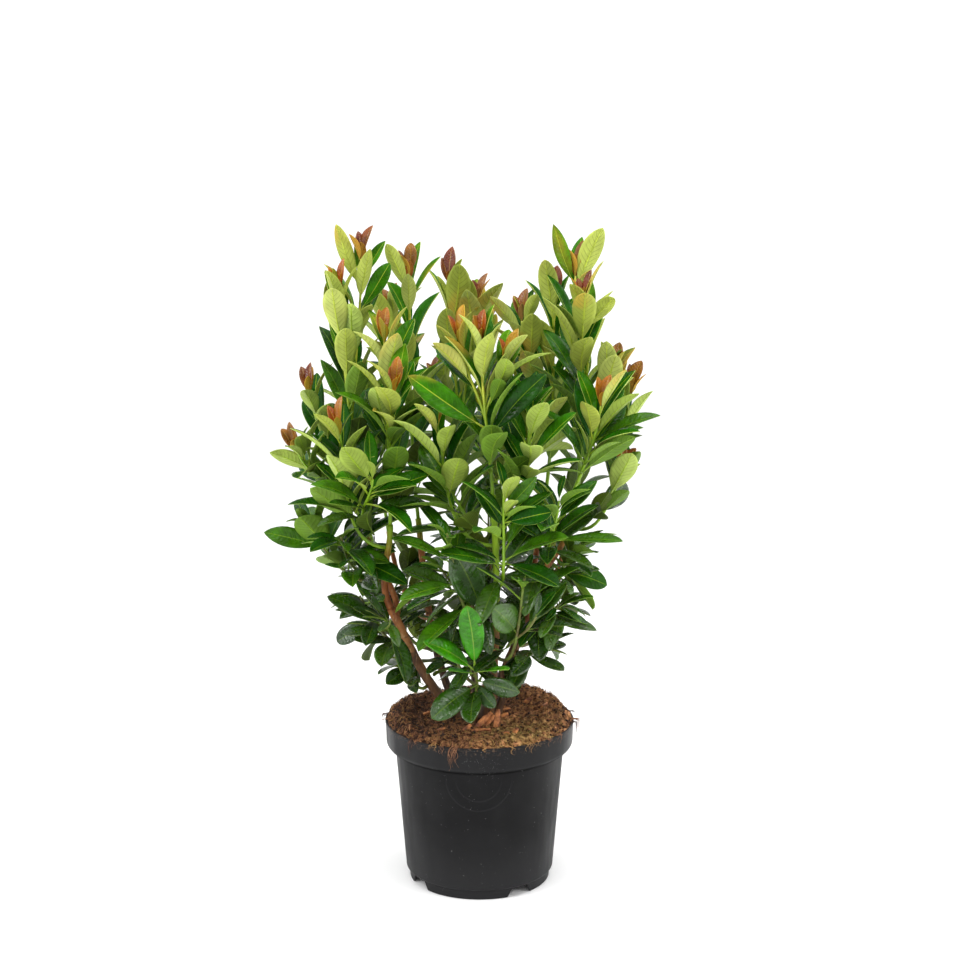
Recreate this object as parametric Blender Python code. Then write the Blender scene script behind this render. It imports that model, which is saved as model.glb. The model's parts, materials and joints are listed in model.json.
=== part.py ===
"""Potted cherry laurel: a bushy evergreen shrub of several stems in a round nursery pot.

Units are metres, +Z is up and the plant is seen from -Y.  The origin is the middle of the pot's
flat underside.  The pot, the soil, every stem and bough and every mass of foliage is one closed
solid.  Twigs and leaves grow along their shoots by a seeded rule, and a leaf that would touch
another piece is turned a little or left out.
"""

import math
import random
from collections import Counter, namedtuple

import bmesh
import bpy
from mathutils import Matrix, Vector
from mathutils.bvhtree import BVHTree
from mathutils.kdtree import KDTree

UP = Vector((0.0, 0.0, 1.0))
CLEAR = 0.0003             # gap between two pieces that meet

# Pot
POT_SEGMENTS = 30
POT_HEIGHT = 0.247
POT_WALL = 0.0022
RIM_RADIUS = 0.142
RIM_FOOT_Z = 0.206         # underside of the rim band
RIM_STEP = 0.0030          # flat ledge under the rim band
RIM_ROUND = 0.0100         # height over which the band rounds out
BODY_TOP_RADIUS = 0.1270
BODY_FOOT_RADIUS = 0.1115
FOOT_HEIGHT = 0.0148
FOOT_RADIUS = 0.106
FLOOR_THICKNESS = 0.0022
PAD_RADIUS = 0.030         # flat boss in the middle of the underside
NOTCH_AZIMUTHS = (-58.0, 34.5, 126.0, 218.0)   # degrees from the front towards +X
NOTCH_HALF_ANGLE = 10.0
NOTCH_HEIGHT = 0.0125

# Soil
SOIL_EDGE_Z = 0.2425
SOIL_LEVEL = 0.250         # flat ground that the stems rise from
SOIL_FLAT_RADIUS = 0.070
SOIL_MOUND_RADIUS = 0.126
# Heaps against the rim: degrees from +X towards +Y, height and half angle
SOIL_HEAPS = ((48.0, 0.0150, 42.0), (166.0, 0.0110, 40.0))
SOIL_HEAP_EDGE = 0.6       # share of a heap's height that is left at the pot's wall

# Limbs
CURVE_PULL = 0.36          # how far the end leans carry into a curve
LIMB_RING_STEP = 0.038
FLARE_LENGTH = 0.014
FLARE_GAIN = 1.45

# Twigs and leaves
TWIG_SIDES = 3
TWIG_RING_STEP = 0.085
TWIG_FOOT_RADIUS = 0.0030
TWIG_TIP_RADIUS = 0.0019
BUD_LENGTH = 0.014
GOLDEN_TURN = 137.5
LEAF_THICKNESS = 0.013     # share of the leaf's length
LEAF_OUTLINE = ((0.0, 0.0), (0.62, 0.98), (1.0, 0.0), (0.62, -0.98))
LEAF_WAIST = 0.58          # where the blade is thickest
LEAF_SLIM = 0.36           # width of a leaf as a share of its length
LEAF_LIFT = 0.65           # how strongly leaves of new growth turn to the light
LEAF_DROOP = 0.14          # and how far old ones hang
LEAF_SUN = 0.75            # how far the leaves of flat shoots turn their faces up
BLADE_CLEAR = 0.0016       # room kept between two leaves
SPACE_SLACK = 0.030        # how far a leaf may lean over a neighbour's space
CROWN_LOW = Vector((-0.325, -0.235, 0.262))
CROWN_HIGH = Vector((0.262, 0.270, 0.992))
CROWN_DEPTH = 0.92         # depth of the crown as a share of its width
# Height, and how far the crown reaches there to the left and to the right
CROWN_REACH = ((0.30, -0.120, 0.080), (0.34, -0.195, 0.130), (0.40, -0.218, 0.170), (0.49, -0.245, 0.186),
               (0.54, -0.290, 0.218), (0.66, -0.308, 0.238), (0.76, -0.262, 0.256), (0.85, -0.240, 0.208),
               (0.93, -0.228, 0.184), (1.00, -0.214, 0.178))
TRIES = 14
# Feet of stems that no leaf hides from the front: from and to a share of the stem's length
BARE_FEET = (("stem_left", 0.24, 0.98), ("stem_right", 0.22, 0.27), ("stem_right", 0.35, 0.64))
BARE_SIGHT = Vector((0.0, -0.170, 0.053))      # how far in front of them stays free
BARE_STEPS = 8
PLACED_ROLLS = (0, 15, -15, 30, -30, 50, -50)
WELD = 0.0000001           # corners this close count as one
ROOT_NUDGE = 0.00013       # leaves sink this much further each time a mass doesn't fuse
FUSE_TRIES = 8

BARK_BROWN = (0.155, 0.060, 0.030)
POT_GREY = (0.031, 0.031, 0.032)
SOIL_BROWN = (0.085, 0.038, 0.018)
LEAF_GREEN = (0.045, 0.130, 0.022)

# A limb grows from the ground (parent None), from its parent's tip (at 1) or from its side.
Limb = namedtuple("Limb", "name parent at foot tip foot_lean tip_lean foot_radius tip_radius sides")

LIMBS = (
    Limb("stem_left", None, 0, (-0.026, -0.013), (-0.130, -0.050, 0.432),
         (-0.74, -0.05, 0.67), (-0.42, -0.10, 0.90), 0.0078, 0.0060, 8),
    Limb("bough_left_front", "stem_left", 1.0, None, (-0.129, -0.062, 0.560),
         None, (0.00, -0.02, 1.00), 0.0054, 0.0040, 6),
    Limb("bough_left_outer", "stem_left", 0.93, None, (-0.176, -0.018, 0.565),
         None, (-0.20, 0.06, 1.00), 0.0050, 0.0038, 6),
    Limb("stem_back_left", None, 0, (-0.032, 0.013), (-0.092, 0.044, 0.545),
         (-0.42, 0.14, 0.90), (-0.10, 0.04, 1.00), 0.0064, 0.0044, 6),
    Limb("bough_back_left", "stem_back_left", 0.50, None, (-0.140, 0.110, 0.510),
         None, (-0.14, 0.16, 1.00), 0.0042, 0.0034, 6),
    Limb("stem_centre_front", None, 0, (0.015, -0.037), (0.019, -0.094, 0.610),
         (0.10, -0.12, 0.99), (-0.06, -0.08, 1.00), 0.0054, 0.0044, 6),
    Limb("stem_right", None, 0, (0.002, -0.012), (0.107, -0.048, 0.535),
         (0.44, -0.03, 0.90), (0.26, -0.04, 0.96), 0.0080, 0.0054, 8),
    Limb("bough_right_front", "stem_right", 1.0, None, (0.132, -0.060, 0.600),
         None, (0.36, -0.06, 0.93), 0.0046, 0.0038, 6),
    Limb("bough_right_outer", "stem_right", 0.86, None, (0.142, 0.004, 0.575),
         None, (0.14, 0.10, 1.00), 0.0044, 0.0036, 6),
    Limb("stem_back_right", None, 0, (0.026, 0.002), (0.098, 0.048, 0.575),
         (0.30, 0.12, 0.95), (0.14, 0.06, 1.00), 0.0060, 0.0040, 6),
    Limb("bough_back_right", "stem_back_right", 0.50, None, (0.136, 0.118, 0.510),
         None, (0.14, 0.16, 1.00), 0.0040, 0.0034, 6),
    Limb("stem_centre_back", None, 0, (-0.004, 0.010), (-0.022, 0.082, 0.560),
         (-0.06, 0.20, 0.98), (-0.04, 0.12, 1.00), 0.0058, 0.0040, 6),
    Limb("stem_back", None, 0, (0.014, 0.034), (0.018, 0.132, 0.505),
         (0.02, 0.36, 0.93), (0.02, 0.18, 1.00), 0.0056, 0.0038, 6),
    Limb("stem_sprout", None, 0, (-0.006, -0.046), (-0.004, -0.074, 0.316),
         (0.02, -0.10, 1.00), (0.02, -0.10, 1.00), 0.0034, 0.0028, 6),
)

# A mass of foliage grows from its parent's tip or side.  Its first shoot carries the others, which
# leave it at the given share of its length.  Size is the length of the shoot's full-grown leaves,
# and lay tells how its leaves stand: 0 upright as on new growth, 1 spread flat or drooping.
# Placed leaves are the ones that stand out: where they leave the shoot, their tip, the way their
# upper side faces and their width as a share of their length.
Mass = namedtuple("Mass", "name parent at shoots")
Shoot = namedtuple("Shoot", "at tip leaves size lay placed", defaults=((),))
Placed = namedtuple("Placed", "at tip facing slim")
Plant = namedtuple("Plant", "limbs grown crowd spaces")

OVER = (0.0, -0.35, 1.0)
FRONT = (0.0, -1.0, 0.5)
AWAY = (0.0, 1.0, 0.45)
SLANT = (0.0, -0.75, 0.80)

MASSES = (
    Mass("foliage_front_sprout", "stem_sprout", 1.0, (
        Shoot(0, (-0.007, -0.118, 0.360), 0, 0.070, 0.9, (
            Placed(0.97, (-0.018, -0.172, 0.470), FRONT, 0.28),
            Placed(0.93, (-0.074, -0.165, 0.417), SLANT, 0.30),
            Placed(0.84, (0.042, -0.165, 0.373), SLANT, 0.28),
            Placed(0.74, (-0.043, -0.155, 0.370), OVER, 0.26),
            Placed(0.18, (-0.066, -0.145, 0.297), FRONT, 0.40),
            Placed(0.10, (-0.014, -0.150, 0.293), FRONT, 0.42),
            Placed(0.26, (0.021, -0.135, 0.309), FRONT, 0.36),
            Placed(0.36, (0.058, -0.125, 0.327), FRONT, 0.38))),)),
    Mass("foliage_foot_middle", "stem_centre_front", 0.15, (
        Shoot(0, (-0.054, -0.064, 0.414), 8, 0.088, 0.9),
        Shoot(0.30, (0.004, -0.078, 0.412), 5, 0.080, 1.0))),
    Mass("foliage_centre_front", "stem_centre_front", 1.0, (
        Shoot(0, (0.001, -0.122, 0.832), 13, 0.102, 0.1, (
            Placed(0.44, (-0.095, -0.140, 0.790), FRONT, 0.28),
            Placed(0.37, (0.090, -0.130, 0.790), FRONT, 0.28),
            Placed(0.21, (0.016, -0.138, 0.722), AWAY, 0.50),
            Placed(0.08, (0.072, -0.120, 0.675), AWAY, 0.40))),
        Shoot(0.48, (-0.026, -0.096, 0.826), 7, 0.084, 0.1),
        Shoot(0.54, (0.036, -0.106, 0.800), 6, 0.084, 0.2))),
    Mass("foliage_left_high", "bough_left_outer", 1.0, (
        Shoot(0, (-0.169, -0.020, 0.940), 11, 0.102, 0.1, (
            Placed(0.89, (-0.203, -0.022, 0.990), AWAY, 0.26),
            Placed(0.92, (-0.137, -0.010, 0.966), OVER, 0.38),
            Placed(0.80, (-0.130, -0.002, 0.934), FRONT, 0.34),
            Placed(0.14, (-0.236, -0.035, 0.693), OVER, 0.30))),
        Shoot(0.26, (-0.200, -0.038, 0.888), 10, 0.104, 0.1))),
    Mass("foliage_left_front", "bough_left_front", 1.0, (
        Shoot(0, (-0.135, -0.064, 0.828), 14, 0.104, 0.2, (
            Placed(0.08, (-0.138, -0.102, 0.650), AWAY, 0.50),
            Placed(0.05, (-0.100, -0.100, 0.640), AWAY, 0.48))),
        Shoot(0.32, (-0.120, -0.110, 0.760), 9, 0.098, 0.2))),
    Mass("foliage_right_high", "bough_right_outer", 1.0, (
        Shoot(0, (0.139, 0.020, 0.912), 11, 0.104, 0.1, (
            Placed(0.93, (0.176, 0.002, 0.984), AWAY, 0.35),
            Placed(0.95, (0.108, 0.008, 0.986), FRONT, 0.26))),
        Shoot(0.30, (0.146, -0.030, 0.876), 10, 0.102, 0.1, (
            Placed(0.80, (0.190, -0.056, 0.893), AWAY, 0.36),)))),
    Mass("foliage_right_front", "bough_right_front", 1.0, (
        Shoot(0, (0.172, -0.086, 0.738), 10, 0.098, 0.3, (
            Placed(0.27, (0.220, -0.086, 0.698), AWAY, 0.34),)),
        Shoot(0.16, (0.190, -0.030, 0.772), 11, 0.100, 0.2, (
            Placed(0.39, (0.256, -0.050, 0.725), OVER, 0.30),)))),
    Mass("foliage_left_outer", "bough_left_outer", 0.70, (
        Shoot(0, (-0.250, 0.020, 0.738), 13, 0.104, 0.3),
        Shoot(0.37, (-0.264, -0.016, 0.655), 9, 0.100, 0.5, (
            Placed(0.68, (-0.305, -0.022, 0.662), AWAY, 0.36),
            Placed(0.37, (-0.256, -0.006, 0.646), AWAY, 0.50))))),
    Mass("foliage_left_middle", "bough_left_front", 0.74, (
        Shoot(0, (-0.198, -0.088, 0.698), 12, 0.102, 0.4, (
            Placed(0.34, (-0.240, -0.102, 0.626), AWAY, 0.38),)),
        Shoot(0.30, (-0.150, -0.128, 0.640), 8, 0.098, 0.5, (
            Placed(0.34, (-0.212, -0.122, 0.607), OVER, 0.32),
            Placed(0.95, (-0.190, -0.156, 0.697), AWAY, 0.50))))),
    Mass("foliage_right_outer", "bough_right_outer", 0.72, (
        Shoot(0, (0.222, 0.024, 0.738), 12, 0.098, 0.3, (
            Placed(0.18, (0.188, -0.042, 0.606), AWAY, 0.44),)),
        Shoot(0.30, (0.206, -0.006, 0.618), 8, 0.092, 0.5))),
    Mass("foliage_back_left_high", "stem_back_left", 1.0, (
        Shoot(0, (-0.103, 0.034, 0.908), 11, 0.102, 0.1, (
            Placed(0.93, (-0.134, 0.020, 0.959), AWAY, 0.30),
            Placed(0.90, (-0.062, 0.022, 0.942), OVER, 0.24))),
        Shoot(0.30, (-0.132, 0.112, 0.842), 11, 0.100, 0.2))),
    Mass("foliage_centre_back", "stem_centre_back", 1.0, (
        Shoot(0, (-0.046, 0.116, 0.890), 10, 0.102, 0.1, (
            Placed(0.80, (-0.030, 0.080, 0.926), AWAY, 0.38),)),
        Shoot(0.30, (-0.004, 0.122, 0.856), 9, 0.100, 0.1))),
    Mass("foliage_back_right_high", "stem_back_right", 1.0, (
        Shoot(0, (0.110, 0.056, 0.872), 10, 0.100, 0.1, (
            Placed(0.86, (0.095, 0.036, 0.936), AWAY, 0.30),)),
        Shoot(0.22, (0.062, 0.054, 0.842), 10, 0.098, 0.1, (
            Placed(0.90, (0.016, 0.030, 0.883), AWAY, 0.28),
            Placed(0.94, (0.084, 0.030, 0.886), AWAY, 0.34))))),
    Mass("foliage_centre_left", "stem_centre_front", 0.80, (
        Shoot(0, (-0.060, -0.100, 0.715), 12, 0.104, 0.4, (
            Placed(0.54, (-0.028, -0.124, 0.672), AWAY, 0.55),)),
        Shoot(0.26, (-0.060, -0.036, 0.660), 10, 0.100, 0.5))),
    Mass("foliage_centre_right", "stem_centre_front", 0.92, (
        Shoot(0, (0.072, -0.110, 0.735), 12, 0.102, 0.4),
        Shoot(0.26, (0.070, -0.036, 0.700), 10, 0.100, 0.5))),
    Mass("foliage_centre_middle", "stem_centre_front", 0.64, (
        Shoot(0, (0.034, -0.160, 0.630), 10, 0.098, 0.6, (
            Placed(0.86, (0.078, -0.176, 0.654), FRONT, 0.34),
            Placed(0.77, (0.098, -0.180, 0.606), FRONT, 0.38),
            Placed(0.44, (0.112, -0.164, 0.500), OVER, 0.42))),)),
    Mass("foliage_centre_low_left", "stem_centre_front", 0.46, (
        Shoot(0, (-0.046, -0.138, 0.565), 11, 0.098, 0.8, (
            Placed(0.16, (-0.036, -0.130, 0.540), FRONT, 0.46),
            Placed(0.07, (0.036, -0.138, 0.448), FRONT, 0.52))),
        Shoot(0.30, (-0.056, -0.076, 0.500), 8, 0.094, 0.9))),
    Mass("foliage_centre_low_right", "stem_centre_front", 0.30, (
        Shoot(0, (0.064, -0.136, 0.500), 10, 0.098, 0.8, (
            Placed(0.53, (0.020, -0.158, 0.462), FRONT, 0.56),)),
        Shoot(0.26, (0.080, -0.148, 0.446), 7, 0.086, 0.9))),
    Mass("foliage_left_low_outer", "bough_left_outer", 0.45, (
        Shoot(0, (-0.256, -0.014, 0.552), 11, 0.100, 0.8, (
            Placed(0.72, (-0.316, -0.024, 0.540), FRONT, 0.34),
            Placed(0.66, (-0.262, -0.048, 0.569), AWAY, 0.60),
            Placed(0.47, (-0.228, -0.062, 0.518), AWAY, 0.62))),
        Shoot(0.26, (-0.200, -0.072, 0.545), 9, 0.096, 0.9))),
    Mass("foliage_left_low", "stem_left", 0.72, (
        Shoot(0, (-0.176, -0.040, 0.448), 11, 0.092, 1.0, (
            Placed(0.08, (-0.182, -0.064, 0.389), OVER, 0.38),
            Placed(0.60, (-0.212, -0.030, 0.375), FRONT, 0.42))),
        Shoot(0.26, (-0.128, -0.108, 0.430), 8, 0.088, 1.0))),
    Mass("foliage_left_foot", "stem_left", 0.36, (
        Shoot(0, (-0.116, -0.046, 0.362), 8, 0.072, 0.9, (
            Placed(0.74, (-0.136, -0.080, 0.326), FRONT, 0.52),)),)),
    Mass("foliage_right_middle", "stem_right", 0.92, (
        Shoot(0, (0.112, -0.130, 0.610), 10, 0.098, 0.6, (
            Placed(0.53, (0.205, -0.098, 0.549), OVER, 0.26),)),)),
    Mass("foliage_right_low_outer", "stem_right", 0.80, (
        Shoot(0, (0.150, -0.006, 0.520), 10, 0.092, 0.9, (
            Placed(0.24, (0.176, -0.036, 0.488), OVER, 0.38),
            Placed(0.34, (0.188, -0.030, 0.462), FRONT, 0.42))),)),
    Mass("foliage_right_low", "stem_right", 0.60, (
        Shoot(0, (0.126, -0.030, 0.440), 9, 0.090, 1.0, (
            Placed(0.12, (0.172, -0.052, 0.400), OVER, 0.32),)),
        Shoot(0.29, (0.112, -0.098, 0.448), 9, 0.088, 1.0))),
    Mass("foliage_right_foot", "stem_right", 0.40, (
        Shoot(0, (0.094, -0.066, 0.376), 8, 0.076, 1.0, (
            Placed(0.34, (0.124, -0.074, 0.346), OVER, 0.36),)),)),
    Mass("foliage_back_left", "bough_back_left", 1.0, (
        Shoot(0, (-0.186, 0.122, 0.756), 13, 0.100, 0.3),
        Shoot(0.24, (-0.168, 0.184, 0.680), 11, 0.098, 0.5))),
    Mass("foliage_back_right", "bough_back_right", 1.0, (
        Shoot(0, (0.166, 0.128, 0.790), 13, 0.100, 0.3),
        Shoot(0.24, (0.200, 0.136, 0.680), 11, 0.098, 0.5))),
    Mass("foliage_back_centre", "stem_back", 1.0, (
        Shoot(0, (0.012, 0.180, 0.812), 12, 0.102, 0.2),
        Shoot(0.22, (0.068, 0.188, 0.732), 10, 0.100, 0.4),
        Shoot(0.28, (-0.062, 0.184, 0.722), 10, 0.100, 0.4))),
    Mass("foliage_back_low_left", "stem_back_left", 0.34, (
        Shoot(0, (-0.160, 0.086, 0.480), 11, 0.094, 0.9),
        Shoot(0.34, (-0.110, 0.150, 0.456), 9, 0.092, 1.0))),
    Mass("foliage_back_low_centre", "stem_back", 0.46, (
        Shoot(0, (0.014, 0.204, 0.520), 11, 0.096, 0.9),
        Shoot(0.30, (0.066, 0.146, 0.486), 8, 0.092, 0.9))),
    Mass("foliage_back_low_right", "stem_back_right", 0.32, (
        Shoot(0, (0.136, 0.092, 0.482), 11, 0.094, 0.9),
        Shoot(0.34, (0.092, 0.156, 0.450), 9, 0.092, 1.0))),
    Mass("foliage_middle", "stem_centre_back", 0.56, (
        Shoot(0, (0.034, 0.036, 0.690), 12, 0.102, 0.5),
        Shoot(0.30, (-0.044, 0.018, 0.570), 9, 0.096, 0.6))),
)


class Axis:
    """A smooth line from a start to an end with a lean at each, and a radius that tapers."""

    def __init__(self, start, start_lean, end, end_lean, start_radius, end_radius):
        self.start = Vector(start)
        self.end = Vector(end)
        self.length = (self.end - self.start).length
        self.near = self.start + Vector(start_lean).normalized() * self.length * CURVE_PULL
        self.far = self.end - Vector(end_lean).normalized() * self.length * CURVE_PULL
        self.start_radius = start_radius
        self.end_radius = end_radius

    def point(self, share):
        rest = 1.0 - share
        return (self.start * rest ** 3 + self.near * 3 * rest * rest * share
                + self.far * 3 * rest * share * share + self.end * share ** 3)

    def lean(self, share):
        rest = 1.0 - share
        return ((self.near - self.start) * rest * rest + (self.far - self.near) * 2 * rest * share
                + (self.end - self.far) * share * share).normalized()

    def radius(self, share):
        return self.start_radius + (self.end_radius - self.start_radius) * share


def square_to(direction, hint):
    """A unit vector square to the direction, as near to the hint as it goes."""
    side = hint - direction * hint.dot(direction)
    if side.length < 1e-6:
        side = direction.orthogonal()
    return side.normalized()


def mix(first, second, share):
    return first + (second - first) * share


def smooth_step(value, low, high):
    share = min(max((value - low) / (high - low), 0.0), 1.0)
    return share * share * (3.0 - 2.0 * share)


def leave_parent(parent, at, target):
    """Where a limb or twig starts on its parent and how it leans, the clear gap included."""
    if at >= 1.0:
        lean = parent.lean(1.0)
        return parent.end + lean * CLEAR, lean
    point = parent.point(at)
    outward = square_to(parent.lean(at), target - point)
    return point + outward * (parent.radius(at) + CLEAR), outward


def limb_axes():
    """The line of every limb, by name, in the order of the table."""
    axes = {}
    for limb in LIMBS:
        tip = Vector(limb.tip)
        if limb.parent is None:
            start = Vector((*limb.foot, SOIL_LEVEL + CLEAR))
            lean = limb.foot_lean
        else:
            start, lean = leave_parent(axes[limb.parent], limb.at, tip)
        axes[limb.name] = Axis(start, lean, tip, limb.tip_lean, limb.foot_radius, limb.tip_radius)
    return axes


def shoot_axes(mass, limbs):
    """The lines of a mass's shoots: the first leaves the limb, the rest leave the first."""
    axes = []
    for shoot in mass.shoots:
        tip = Vector(shoot.tip)
        if not axes:
            start, lean = leave_parent(limbs[mass.parent], mass.at, tip)
            foot_radius = TWIG_FOOT_RADIUS
        else:
            start = twig_middle(axes[0], shoot.at)
            lean = axes[0].lean(shoot.at) + (tip - start).normalized()
            foot_radius = axes[0].radius(shoot.at) * 0.9
        rise = (tip - start).normalized() + UP * (1.5 - 1.1 * shoot.lay)
        axes.append(Axis(start, lean, tip, rise, foot_radius, TWIG_TIP_RADIUS))
    return axes


def rings_along(axis, step):
    """Shares along an axis at which a tube has a ring."""
    count = max(2, round(axis.length / step))
    return [index / count for index in range(count + 1)]


def twig_middle(axis, share):
    """The middle of a shoot's twig, which runs straight from ring to ring."""
    count = len(rings_along(axis, TWIG_RING_STEP)) - 1
    ring = min(int(share * count), count - 1)
    return mix(axis.point(ring / count), axis.point((ring + 1) / count), share * count - ring)


def tube_parts(axis, shares, sides, flat_foot=False, bud=0.0, swell=0.0):
    """Points and faces of a closed tapering tube; swell adds to its radius."""
    points = []
    faces = []
    reference = square_to(axis.lean(0.0), Vector((0.0, -1.0, 0.2)))
    for share in shares:
        lean = axis.lean(share)
        radius = axis.radius(share) + swell
        if flat_foot:
            climb = axis.point(share).z - axis.start.z
            radius *= 1.0 + (FLARE_GAIN - 1.0) * max(0.0, 1.0 - climb / FLARE_LENGTH) ** 2
            if share == 0.0:
                lean = UP
        reference = square_to(lean, reference)
        across = lean.cross(reference)
        for side in range(sides):
            turn = 2.0 * math.pi * side / sides
            spoke = reference * math.cos(turn) + across * math.sin(turn)
            points.append(axis.point(share) + spoke * radius)
    for ring in range(len(shares) - 1):
        for side in range(sides):
            beside = (side + 1) % sides
            low = ring * sides
            faces.append((low + side, low + beside, low + sides + beside))
            faces.append((low + side, low + sides + beside, low + sides + side))
    faces.append(tuple(reversed(range(sides))))
    last = (len(shares) - 1) * sides
    if bud:
        points.append(axis.end + axis.lean(1.0) * bud)
        faces += [(last + side, last + (side + 1) % sides, last + sides) for side in range(sides)]
    else:
        faces.append(tuple(range(last, last + sides)))
    return points, faces


class Leaf:
    """One leaf: where it is rooted, where it points, which way it faces and how it bends."""

    def __init__(self, root, ahead, face, length, slim, bend, fold, age):
        self.root = root
        self.ahead = ahead.normalized()
        self.face = square_to(self.ahead, face)
        self.side = self.ahead.cross(self.face)
        self.length = length
        self.width = length * slim
        self.bend = bend
        self.fold = fold
        self.age = age

    def spot(self, along, across, lift=0.0):
        """A place on the blade: along 0 to 1, across -1 to 1, lift in metres off its middle."""
        drop = -self.bend * along * along * self.length
        raised = abs(across) * self.fold * self.width * 0.5
        return (self.root + self.ahead * (along * self.length)
                + self.side * (across * self.width * 0.5) + self.face * (drop + raised + lift))

    def parts(self, swell=0.0):
        """Points and faces of the closed blade, which is thickest along its middle."""
        half = LEAF_THICKNESS * self.length * 0.5 + swell
        outline = [self.spot(along, across) for along, across in LEAF_OUTLINE]
        points = outline + [self.spot(LEAF_WAIST, 0.0, half), self.spot(LEAF_WAIST, 0.0, -half)]
        above = len(outline)
        faces = []
        for corner in range(above):
            beside = (corner + 1) % above
            faces.append((corner, beside, above))
            faces.append((beside, corner, above + 1))
        return points, faces


class Crowd:
    """What already stands in the crown, to test a new leaf against."""

    def __init__(self):
        self.members = []

    def add(self, points, faces, owner):
        middle = sum(points, Vector()) / len(points)
        reach = max((point - middle).length for point in points)
        self.members.append((middle, reach, BVHTree.FromPolygons(points, faces), owner))

    def is_free(self, points, faces, owner):
        middle = sum(points, Vector()) / len(points)
        reach = max((point - middle).length for point in points)
        tree = BVHTree.FromPolygons(points, faces)
        for other_middle, other_reach, other_tree, other_owner in self.members:
            if other_owner == owner or (other_middle - middle).length > other_reach + reach:
                continue
            if tree.overlap(other_tree):
                return False
        return True


def propose_leaf(axis, shoot, share, turn, rng):
    """A leaf of the growth rule: young ones at the tip stand up, old ones lower down lie flat."""
    age = 1.0 - share
    lean = axis.lean(share)
    spread = math.radians(mix(mix(15.0, 37.0, age ** 0.8), mix(34.0, 102.0, age ** 0.7), shoot.lay)
                          + rng.uniform(-7.0, 7.0))
    out = square_to(lean, Vector((0.0, -1.0, 0.0)))
    out = Matrix.Rotation(math.radians(turn), 3, lean) @ out
    ahead = lean * math.cos(spread) + out * math.sin(spread)
    face = lean * math.sin(spread) - out * math.cos(spread)
    ahead = (ahead + UP * mix(LEAF_LIFT, -LEAF_DROOP, shoot.lay)).normalized()
    face = square_to(ahead, mix(face, UP, LEAF_SUN * shoot.lay))
    face = Matrix.Rotation(math.radians(rng.uniform(-22.0, 22.0)), 3, ahead) @ face
    grown = 0.42 + 0.36 * smooth_step(age, 0.0, 0.09) + 0.22 * smooth_step(age, 0.09, 0.34)
    length = shoot.size * grown * rng.uniform(0.88, 1.12)
    bend = mix(0.12, 0.20, age) * rng.uniform(0.3, 1.4) + 0.08 * shoot.lay
    fold = rng.uniform(0.10, 0.34) * mix(1.3, 1.0, age)
    slim = LEAF_SLIM * mix(0.78, 1.0, smooth_step(age, 0.0, 0.3)) * rng.uniform(0.90, 1.10)
    return Leaf(twig_middle(axis, share), ahead, face, length, slim, bend, fold, age)


def placed_leaf(axis, placed, roll):
    """A leaf that stands out, with its root on the shoot and its tip where the table says."""
    root = twig_middle(axis, placed.at)
    ahead = Vector(placed.tip) - root
    age = 1.0 - placed.at
    face = square_to(ahead.normalized(), Vector(placed.facing))
    face = Matrix.Rotation(math.radians(roll), 3, ahead) @ face
    length = ahead.length
    bend = mix(0.02, 0.06, age)
    tip = ahead + face * bend * length
    return Leaf(root, tip, face, length, placed.slim, bend, mix(0.26, 0.16, age), age)


def inside_box(points):
    return all(low <= value <= high for point in points
               for low, value, high in zip(CROWN_LOW, point, CROWN_HIGH))


def inside_crown(points):
    """Whether all points are within the crown, which is an oval at each height."""
    for point in points:
        for low, high in zip(CROWN_REACH, CROWN_REACH[1:]):
            if point.z <= high[0]:
                break
        share = (point.z - low[0]) / (high[0] - low[0])
        left = mix(low[1], high[1], share)
        right = mix(low[2], high[2], share)
        half = (right - left) * 0.5
        across = (point.x - (left + right) * 0.5) / half
        if across * across + (point.y / (half * CROWN_DEPTH)) ** 2 > 1.0:
            return False
    return inside_box(points)


def grow():
    """Grow the plant: the limbs' lines, each mass's shoot lines and leaves by name, and its room."""
    limbs = limb_axes()
    crowd = Crowd()
    for limb in LIMBS:
        axis = limbs[limb.name]
        parts = tube_parts(axis, rings_along(axis, LIMB_RING_STEP), limb.sides,
                           limb.parent is None, swell=BLADE_CLEAR)
        crowd.add(*parts, limb.name)
    for name, low, high in BARE_FEET:
        feet = [limbs[name].point(mix(low, high, step / BARE_STEPS)) for step in range(BARE_STEPS + 1)]
        sheet = [corner for foot in feet for corner in (foot, foot + BARE_SIGHT)]
        crowd.add(sheet, [(row, row + 1, row + 3, row + 2) for row in range(0, 2 * BARE_STEPS, 2)], None)
    spaces = KDTree(4000)
    shoots = {}
    for number, mass in enumerate(MASSES):
        shoots[mass.name] = shoot_axes(mass, limbs)
        for index, axis in enumerate(shoots[mass.name]):
            parts = tube_parts(axis, rings_along(axis, TWIG_RING_STEP), TWIG_SIDES, bud=BUD_LENGTH,
                               swell=BLADE_CLEAR)
            crowd.add(*parts, (mass.name, index))
            for step in range(21):
                spaces.insert(axis.point(step / 20.0), number)
    spaces.balance()
    grown = {mass.name: (shoots[mass.name], place_leaves(crowd, mass, shoots[mass.name]))
             for mass in MASSES}
    for number, mass in enumerate(MASSES):
        leaves = grown[mass.name][1]
        for index, (shoot, axis) in enumerate(zip(mass.shoots, shoots[mass.name])):
            rng = random.Random(1000 * number + index)
            first = 0.16 if index == 0 else 0.24
            for place in range(shoot.leaves):
                share = mix(first, 0.985, (place / (shoot.leaves - 1)) ** 0.9)
                turn = place * GOLDEN_TURN + rng.uniform(0.0, 30.0) + index * 70.0
                leaf = find_room(crowd, spaces, number, (mass.name, index), axis, shoot, share,
                                 turn, rng)
                if leaf:
                    leaves.append(leaf)
    return Plant(limbs, grown, crowd, spaces)


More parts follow.
